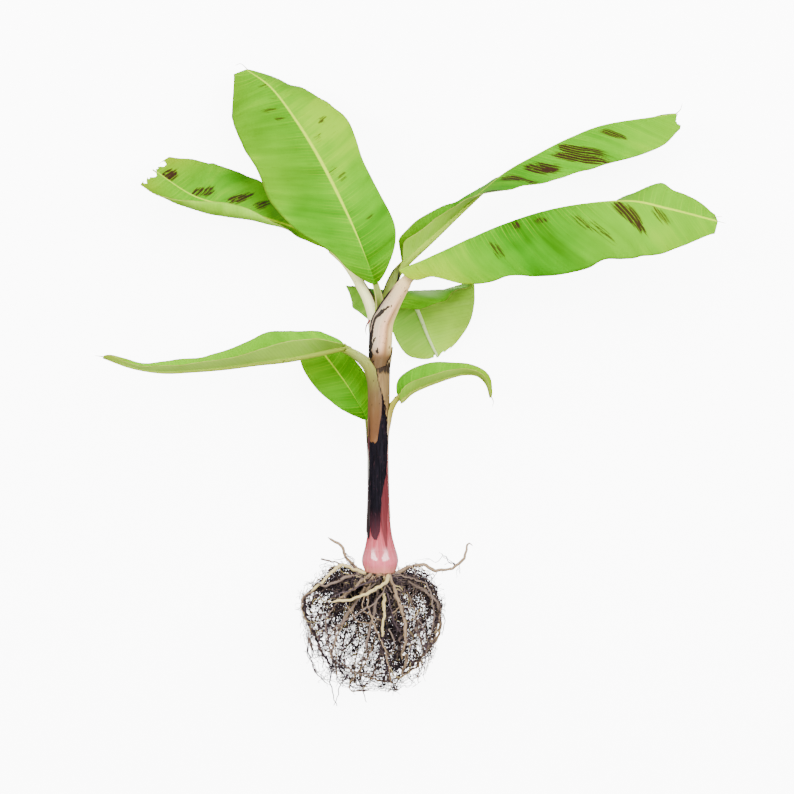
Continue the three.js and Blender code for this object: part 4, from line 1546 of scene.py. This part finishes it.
# %% The four quarters of the roots
QUARTERS = {
    "roots_front": {
        "facing": (0, 0, 1), "count": 9, "seed": 11, "laid_finish": [0, 1, 0, 5, 5, 5],
        "laid": [
            [(8, -6, 12), (5, -11, 32), (-13, -20, 46), (-30, -25, 52), (-45, -26, 53)],
            [(0, -7, 14), (-5, -36, 30), (-10, -56, 36), (-13, -73, 38)],
            [(3, -7, 14), (4, -36, 34), (2, -61, 40)],
            [(9, -6, 13), (18, -30, 28), (23, -45, 34), (24, -63, 38), (20, -82, 36)],
            [(-5, -6, 14), (-15, -18, 28), (-28, -37, 42), (-35, -48, 48)],
            [(-9, -5, 13), (-21, -14, 32), (-32, -20, 45), (-38, -24, 51)],
        ],
    },
    "roots_right": {
        "facing": (1, 0, 0), "count": 8, "seed": 23, "laid_finish": [5, 1, 5],
        "laid": [
            [
                (13, -6, 2), (36, 4, 8), (52, -1, 10), (66, 0, 10), (77, 7, 10), (82, 17, 8),
                (83, 23, 6), (88, 22, 5),
            ],
            [(15, -4, 4), (27, -12, 12), (41, -19, 22), (50, -25, 28), (56, -37, 26)],
            [
                (15, -8, 0), (33, -18, 6), (49, -29, 14), (56, -46, 14), (56, -61, 12), (46, -75, 10),
                (36, -86, 8), (21, -96, 6),
            ],
        ],
    },
    "roots_back": {"facing": (0, 0, -1), "count": 9, "seed": 37, "laid": []},
    "roots_left": {
        "facing": (-1, 0, 0), "count": 8, "seed": 41, "laid_finish": [5, 0, 1, 2],
        "laid": [
            [(-13, -6, 1), (-24, 2, 4), (-31, 9, 5), (-36, 20, 6), (-43, 26, 6), (-50, 30, 6)],
            [(-12, -6, 5), (-36, 4, 18), (-48, -5, 26), (-64, -20, 28)],
            [(-15, -4, 4), (-34, -8, 20), (-50, -14, 30), (-58, -11, 32)],
            [
                (-15, -9, 0), (-38, -15, 4), (-64, -20, 10), (-72, -33, 12), (-69, -48, 10),
                (-61, -65, 8), (-53, -83, 6), (-42, -94, 4),
            ],
        ],
    },
}
print("laid by hand", sum(len(quarter["laid"]) for quarter in QUARTERS.values()))

# %% [markdown]
# Roots grow by chance, but these have to grow the same way on every run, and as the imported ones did. So
# the random numbers come from one short sum that repeats exactly, and not from Python's own generator.

# %% Chance, and the edges of a quarter
QUARTER_MARGIN = 4.4


def chance(seed):
    """Repeatable random numbers from 0 to 1."""
    state = seed

    def draw():
        nonlocal state
        state = (1664525 * state + 1013904223) % 4294967296
        return state / 4294967296

    return draw


def keep_in_quarter(point, facing, sideways):
    """Brings a point that strays out of its quarter back, to a margin short of the edge."""
    out = max(point @ facing, 2 * QUARTER_MARGIN)
    limit = out - QUARTER_MARGIN
    side = min(max(point @ sideways, -limit), limit)
    return out * facing + side * sideways + point * (0, 1, 0)


print("margin at the edge of a quarter, mm", QUARTER_MARGIN)

# %% [markdown]
# A grown root sets out from the corm, dives at its own angle, wanders and sinks a little at each step,
# and is pressed back by the wall of the pot and by the edges of its quarter.

# %% The rule that the thick roots follow
ROOT_STEP = 14
ROOT_RADIUS = 2.0
ROOT_TIP_RADIUS = 1.2
ROOT_LENGTHS = (80, 150)
ROOT_DIVES = (-12, 80)
ROOT_FAN = 68
ROOT_SINK = 0.15
ROOT_WANDER = 0.55
ROOT_CIRCLING = 0.6
GOLDEN_SHARE = 0.618
ROOT_START = -7
ROOT_CLEARANCE = 1.5


def root_path(facing, sideways, turn, dive, length, random):
    """The points that one root passes, a step apart, from the corm to its tip."""
    turning = math.radians(turn)
    heading = facing * math.cos(turning) + sideways * math.sin(turning)
    path = [heading * (stem_radius(ROOT_START) + ROOT_CLEARANCE) + np.array((0, ROOT_START, 0))]
    direction = heading * math.cos(math.radians(dive)) + np.array((0, -math.sin(math.radians(dive)), 0))
    circling = sideways * ROOT_CIRCLING * (random() - 0.5)
    for _ in range(math.ceil(length / ROOT_STEP)):
        wander = np.array([random() - 0.5 for _ in range(3)]) * ROOT_WANDER
        direction = unit(direction + wander - (0, ROOT_SINK, 0) + circling)
        kept = keep_in_quarter(press_into_pot(path[-1] + direction * ROOT_STEP), facing, sideways)
        direction = unit(kept - path[-1])
        path.append(kept)
    return path


def thick_roots(quarter):
    """The roots of a quarter, those laid through listed points first and then those grown by the rule."""
    facing = np.array(quarter["facing"], float)
    sideways = np.cross((0, 1, 0), facing)
    random = chance(quarter["seed"])
    paths = [[np.array(point, float) for point in path] for path in quarter["laid"]]
    for i in range(quarter["count"]):
        turn = ROOT_FAN * ((i * GOLDEN_SHARE) % 1 - 0.5)
        dive = ROOT_DIVES[0] + (ROOT_DIVES[1] - ROOT_DIVES[0]) * i / (quarter["count"] - 1)
        length = ROOT_LENGTHS[0] + (ROOT_LENGTHS[1] - ROOT_LENGTHS[0]) * random()
        paths.append(root_path(facing, sideways, turn, dive, length, random))
    return paths


thick_paths = {name: thick_roots(quarter) for name, quarter in QUARTERS.items()}
print("thick roots", {name: len(paths) for name, paths in thick_paths.items()})

# %% [markdown]
# A root is a round thread, so each is a curve with a radius at every point, and Blender turns it into
# a mesh. Old roots are brown and fibrous, and young ones cream. Each root takes one plain colour.

# %% Finish of the roots
# Root skin: a living root is cream, smooth and full of water, and an old one has lost its skin, down to
# brown, corky threads. All are matt. The last colour is a tan root that has been rubbed pale.
ROOT_COLOURS = {
    "root_cream": "#CCB880", "root_tan": "#74645A", "root_brown": "#4A3E42", "root_umber": "#2A2226",
    "root_black": "#141216", "root_buff": "#8E7860",
}
root_finishes = [
    new_finish(name, Base_Color=linear(colour), Roughness=0.75, Specular_IOR_Level=0.1)[0]
    for name, colour in ROOT_COLOURS.items()
]
print("root colours", len(root_finishes))


# %% Turn threads into meshes
def threads(name, lines, finishes, sides, replaced=()):
    """Many curves as one mesh. A line is its points, a radius at each and the number of its finish."""
    curves = bpy.data.curves.new(name, "CURVE")
    curves.dimensions = "3D"
    curves.bevel_depth = 1
    curves.bevel_resolution = sides
    curves.use_fill_caps = True
    for finish in finishes:
        curves.materials.append(finish)
    for points, radii, finish in lines:
        spline = curves.splines.new("POLY")
        spline.points.add(len(points) - 1)
        world = np.column_stack([to_world(points), np.ones(len(points))])
        spline.points.foreach_set("co", world.astype(np.float32).ravel())
        spline.points.foreach_set("radius", (np.asarray(radii) * MM).astype(np.float32))
        spline.material_index = finish
        spline.use_smooth = True
    holder = bpy.data.objects.new(f"{name}_threads", curves)
    bpy.context.scene.collection.objects.link(holder)
    mesh = bpy.data.meshes.new_from_object(holder.evaluated_get(bpy.context.evaluated_depsgraph_get()))
    bpy.data.objects.remove(holder)
    bpy.data.curves.remove(curves)
    piece = bpy.data.objects.new(name, mesh)
    bpy.context.scene.collection.objects.link(piece)
    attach(piece, "root")
    if replaced:
        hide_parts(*replaced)
    return piece


print("thread maker ready")

# %% [markdown]
# No root is straight: it bends round every grain of soil that it meets. The lower ones also lie
# closer to the middle, because the pot narrowed downwards.

# %% Bend the roots
BEND_STEP = 2.2
BEND_SIZE = 0.5
POT_TAPER = 0.2


def natural_line(path, random):
    """The path made smooth, with the small bends that a root makes round grains of soil."""
    curve, length = smooth_curve(path)
    count = max(int(length / BEND_STEP), 4)
    points, _ = curve(np.linspace(0, 1, count + 1))
    phases = np.array([random() * math.tau for _ in range(6)]).reshape(2, 3)
    at = np.linspace(0, length, count + 1)[:, None]
    bends = np.sin(at / 2.9 + phases[0]) + 0.7 * np.sin(at / 1.3 + phases[1])
    return points + BEND_SIZE * bends * np.minimum(at / 10, 1), length


def narrow_down(points):
    """The pot narrows downwards, so the lower roots lie closer to its middle line."""
    depth = np.clip((-points[:, 1:2] - 35) / 80, 0, 1)
    return POT_CENTRE + (points - POT_CENTRE) * (1 - POT_TAPER * depth * (1, 0, 1))


print("pot taper", POT_TAPER)

# %% [markdown]
# Between the thick roots lie a few slender ones that stand out: each is its points, its radius and the
# number of its colour. All the roots of a quarter are then drawn as one piece, in place of the solid
# quarter, and each thins towards its tip.

# %% The slender roots
SLENDER_ROOTS = {
    "roots_front": [
        ([(12, -38, 42), (22, -31, 46), (33, -33, 44)], 0.6, 5),
        ([(25, -77, 38), (24, -87, 34), (20, -97, 28)], 1.7, 5),
        ([(-4, -12, 22), (-20, -26, 40), (-33, -42, 50), (-41, -58, 52), (-44, -78, 46)], 1.1, 1),
        ([(-14, -22, 48), (-16, -31, 54), (-8, -39, 56), (2, -43, 56)], 0.55, 5),
        ([(30, -40, 40), (40, -50, 40), (44, -62, 38)], 0.6, 1),
        ([(-30, -30, 50), (-22, -42, 54), (-10, -46, 56), (0, -40, 54)], 0.5, 5),
        ([(8, -52, 48), (14, -64, 46), (10, -76, 42), (-2, -82, 40), (-14, -80, 40)], 0.7, 1),
        ([(-36, -86, 36), (-22, -94, 36), (-6, -96, 36), (8, -92, 36)], 0.9, 1),
    ],
    "roots_right": [
        ([(33, -52, 34), (39, -66, 32), (41, -76, 28)], 1.4, 1),
        ([
            (48, -66, 14), (41, -81, 12), (32, -94, 10), (19, -102, 8), (3, -106, 8), (-13, -102, 8),
            (-28, -97, 8),
        ], 1.2, 5),
        ([(20, -8, 10), (40, -18, 24), (54, -32, 26), (61, -48, 20), (58, -62, 16)], 0.8, 1),
    ],
    "roots_left": [
        ([(-45, -92, 6), (-47, -108, 6), (-44, -120, 5), (-41, -131, 5)], 0.8, 3),
        ([(-30, -100, 8), (-38, -112, 6), (-41, -124, 5), (-43, -130, 5)], 0.7, 2),
        ([(-60, -66, 8), (-55, -80, 8), (-54, -94, 6)], 0.9, 1),
    ],
    "roots_back": [
        ([(-22, -104, 0), (-16, -116, 0), (-13, -128, 0)], 0.75, 3),
        ([(18, -104, 0), (12, -114, 0), (8, -119, 0)], 0.6, 3),
        ([(-56, 8, -6), (-44, 6, 2), (-30, 2, 8), (-16, -4, 8)], 1.0, 1),
    ],
}

print("slender roots", sum(len(roots) for roots in SLENDER_ROOTS.values()))

# %% Draw the thick and slender roots
LAID_SHARE = 0.95
GROWN_SHARE = 0.42
THICK_SEED = 100

for quarter_name, paths in thick_paths.items():
    random = chance(QUARTERS[quarter_name]["seed"] + THICK_SEED)
    lines = []
    laid_count = len(QUARTERS[quarter_name]["laid"])
    for i, path in enumerate(paths):
        points, length = natural_line(path, random)
        share = np.linspace(0, 1, len(points))
        radii = ROOT_RADIUS + (ROOT_TIP_RADIUS - ROOT_RADIUS) * share
        radii = radii * (1 + 0.1 * np.sin(share * length / 5 + i)) * np.minimum(1, (1.02 - share) * 12)
        radii = radii * (LAID_SHARE if i < laid_count else GROWN_SHARE)
        if i < laid_count:
            finish = QUARTERS[quarter_name]["laid_finish"][i]
        else:
            finish = (1, 2, 5)[i % 3]
            points = narrow_down(points)
        lines.append((points, radii, finish))
    for path, thick, finish in SLENDER_ROOTS[quarter_name]:
        points, _ = natural_line(path, random)
        lines.append((points, np.linspace(thick, 0.5 * thick, len(points)), finish))
    piece = threads(f"{quarter_name}_grown", lines, root_finishes, 2, [quarter_name])
    print(piece.name, "faces", len(piece.data.polygons))

# %% [markdown]
# Hundreds of fine rootlets branch from the thick roots and mat together against the wall of the pot,
# and hairs finer still branch from those. They grow by the same rule with smaller steps. Each starts
# at a place along a thicker one, wanders, and is pressed back by the pot.

# %% The rule that the rootlets follow
ROOTLET_STEP = 2.3
BULB_ROOM = 25


def settle(point, room):
    """Keeps a fine root in the pot, under the laid roots and off the bulb."""
    kept = press_into_pot(point, room)
    if math.hypot(kept[0], kept[2]) < BULB_ROOM:
        kept[1] = min(kept[1], -5)
    kept[2] = min(max(kept[2], -FOOT.z / MM + FLOOR_GAP), max(10 - 0.55 * kept[1], 10))
    return kept


def rootlet(start, heading, length, wander, sink, random, room):
    """A wandering thread from a start, in small steps."""
    points = [start]
    room = max(room, pot_size(start))
    direction = heading
    turn = np.array([random() - 0.5 for _ in range(3)]) * 0.35
    for _ in range(max(int(length / ROOTLET_STEP), 2)):
        stray = np.array([random() - 0.5 for _ in range(3)]) * wander
        direction = unit(direction + stray + turn - (0, sink, 0))
        kept = settle(points[-1] + direction * ROOTLET_STEP, room)
        direction = unit(kept - points[-1] + 1e-6)
        points.append(kept)
    return points


print("rootlet rule ready")


# %% Grow the fine rootlets
ROOTLETS_PER_QUARTER = 800
HAIRS_PER_QUARTER = 900
SHOWN_ROOM = 1.05
TWIG_CHANCE = 0.12
FINE_SEED = 500
ROOTLET_COLOURS = (0.05, 0.24, 0.33, 0.25, 0.13)
HAIR_COLOURS = (0.03, 0.17, 0.3, 0.3, 0.2)


def pick(random, shares):
    """An index by its share of the chances."""
    value = random() * sum(shares)
    for index, share in enumerate(shares):
        value -= share
        if value < 0:
            return index
    return len(shares) - 1


def fine_roots(paths, random):
    lines, parents = [], []
    curves = [smooth_curve(path)[0] for path in paths]
    for _ in range(ROOTLETS_PER_QUARTER):
        curve = curves[int(random() * len(curves))]
        place, heading = curve(np.array([0.03 + 0.95 * random() ** 1.25]))
        if pot_size(place[0]) > SHOWN_ROOM and random() > TWIG_CHANCE:
            continue
        outward = unit((place[0] - POT_CENTRE) * (1, 0.6, 1) + 1e-3)
        around = np.array([random() - 0.5 for _ in range(3)])
        direction = unit(0.3 * heading[0] + 0.3 * outward + 1.6 * around - 0.5 * TOWARDS_VIEWER)
        length = 12 + 52 * random() ** 1.4
        points = rootlet(place[0], direction, length, 1.3, 0.02, random, 0.66 + 0.4 * random())
        thick = 0.3 + 0.3 * random() ** 2
        radii = np.linspace(thick, 0.2, len(points))
        lines.append((narrow_down(np.array(points)), radii, pick(random, ROOTLET_COLOURS)))
        parents.append(points)
    for _ in range(HAIRS_PER_QUARTER):
        points = parents[int(random() * len(parents))]
        start = points[1 + int(random() * (len(points) - 1))]
        direction = unit(np.array([random() - 0.5 for _ in range(3)]) + 1e-6)
        hair = rootlet(start, direction, 6 + 12 * random(), 1.2, 0.0, random, 1.08)
        radii = np.linspace(0.26, 0.14, len(hair))
        lines.append((narrow_down(np.array(hair)), radii, pick(random, HAIR_COLOURS)))
    return lines


for quarter_name, paths in thick_paths.items():
    random = chance(QUARTERS[quarter_name]["seed"] + FINE_SEED)
    piece = threads(f"{quarter_name}_fine", fine_roots(paths, random), root_finishes, 0)
    print(piece.name, "faces", len(piece.data.polygons))

# %% [markdown]
# Dark crumbs of the potting mix still hang in the mat, mostly under the corm. They are small lumps of
# twenty faces, squashed at random, because hundreds of finer ones would weigh more than they show.

# %% Scatter the crumbs
CRUMBS = 420
CRUMB_SIZES = (0.5, 1.5)
# Peat and rotted bark: nearly black, crumbly and quite matt.
soil = plain_grain("soil_crumb", "#0E0A08", "#2E211A", 3, 0.9)

bm = bmesh.new()
random = chance(77)
all_paths = [path for paths in thick_paths.values() for path in paths]
for _ in range(CRUMBS):
    path = all_paths[int(random() * len(all_paths))]
    curve, _ = smooth_curve(path)
    place, _ = curve(np.array([0.7 * random() ** 1.3]))
    spot = press_into_pot(place[0] + np.array([random() - 0.5 for _ in range(3)]) * 6, 0.9)
    size = CRUMB_SIZES[0] + (CRUMB_SIZES[1] - CRUMB_SIZES[0]) * random() ** 2
    made = bmesh.ops.create_icosphere(bm, subdivisions=1, radius=size * MM)["verts"]
    stretch = Vector([0.6 + 0.8 * random() for _ in range(3)])
    bmesh.ops.scale(bm, vec=stretch, verts=made)
    bmesh.ops.translate(bm, vec=to_world(spot), verts=made)
crumbs = new_piece("soil_crumbs", bm, [soil])
print(crumbs.name, "faces", len(crumbs.data.polygons))

# %% [markdown]
# The corm is the true stem, a brown knob under the bulb that the roots grow from. It is a squashed
# ball with coarse and fine lumps.

# %% Set the corm
CORM_RADII = (15.5, 8, 15.5)
CORM_PLACE = (0, -6.5, 0)
# Corky skin with the scars of old sheaths: dull brown, rough, and pale where it is rubbed.
corm_skin = plain_grain("corm_skin", "#3A281E", "#8A6A50", 5, 0.8, relief_mm=1.0)

bm = bmesh.new()
made = bmesh.ops.create_icosphere(bm, subdivisions=5, radius=1)["verts"]
for vertex in made:
    lump = 1 + 0.12 * noise.noise(vertex.co * 3) + 0.05 * noise.noise(vertex.co * 9)
    vertex.co = to_world(np.array(vertex.co) * CORM_RADII * lump + CORM_PLACE)
for face in bm.faces:
    face.smooth = True
corm = new_piece("corm", bm, [corm_skin])
print(corm.name, "faces", len(corm.data.polygons))

# %% [markdown]
# Dry wisps hang at the leaf tips, where the first thread of each rolled leaf has withered, and a
# reddish shred has come loose from the sheath's left margin. Each is a short thread that tapers.

# %% Hang the dry wisps
WISPS = [
    ([(-124, 474, -25), (-129, 479, -24), (-134, 483, -22), (-139, 481, -20)], 0.5, 0),
    ([(312, 327, 36), (317, 325.5, 36), (322, 324, 37)], 0.4, 0),
    ([(308, 329, 36), (313, 330, 38), (318, 330, 40)], 0.4, 0),
    ([(-252, 198, 32), (-258, 200, 32), (-265, 201, 33)], 0.8, 0),
    ([(105, 163, 14), (107, 158, 14), (106, 153, 13)], 0.5, 0),
    ([(282, 433, -14), (287, 437, -13), (289, 443, -12)], 0.5, 0),
    ([(-9.5, 235, 12), (-12.5, 230, 13), (-13.5, 225, 13), (-12.5, 221, 12)], 1.0, 1),
]
WISP_POINTS = 14
WISP_TIP = 0.15
# Withered leaf tissue: straw-brown, papery and matt. The shred has kept the red of the living sheath.
wisp_finishes = [
    new_finish("dry_wisp", Base_Color=linear("#8A7850"), Roughness=0.7, Specular_IOR_Level=0.1)[0],
    new_finish("red_shred", Base_Color=linear("#6E2C2E"), Roughness=0.6, Specular_IOR_Level=0.1)[0],
]
lines = []
for path, thick, finish in WISPS:
    curve, _ = smooth_curve(path)
    points, _ = curve(np.linspace(0, 1, WISP_POINTS))
    lines.append((points, np.linspace(thick, WISP_TIP, WISP_POINTS), finish))
wisps = threads("dry_wisps", lines, wisp_finishes, 1)
print(wisps.name, "faces", len(wisps.data.polygons))

# %% [markdown]
# The floor is a wide sheet of plain white paper, just under the lowest part of the plant. It glows as a
# light table does, so that it stays white, and that glow is kept off the plant, which would lose colour.

# %% Lay the floor
FLOOR_HALF = 4
PAPER_GREY = 0.93
PAPER_GLOW = 8.0

bm = bmesh.new()
bmesh.ops.create_grid(bm, x_segments=1, y_segments=1, size=FLOOR_HALF)
floor_mesh = bpy.data.meshes.new("floor_paper")
bm.to_mesh(floor_mesh)
bm.free()
floor = bpy.data.objects.new("floor_paper", floor_mesh)
bpy.context.scene.collection.objects.link(floor)
# Plain uncoated paper: white and quite matt, with nothing on it to catch the eye.
paper, _, paper_shader = new_finish("white_paper", Roughness=0.9, Base_Color=(*[PAPER_GREY] * 3, 1))
paper_shader.inputs["Emission Color"].default_value = (1, 1, 1, 1)
paper_shader.inputs["Emission Strength"].default_value = PAPER_GLOW
floor_mesh.materials.append(paper)
floor.visible_diffuse = False
floor.visible_glossy = False
print("floor", FLOOR_HALF * 2, "m wide")
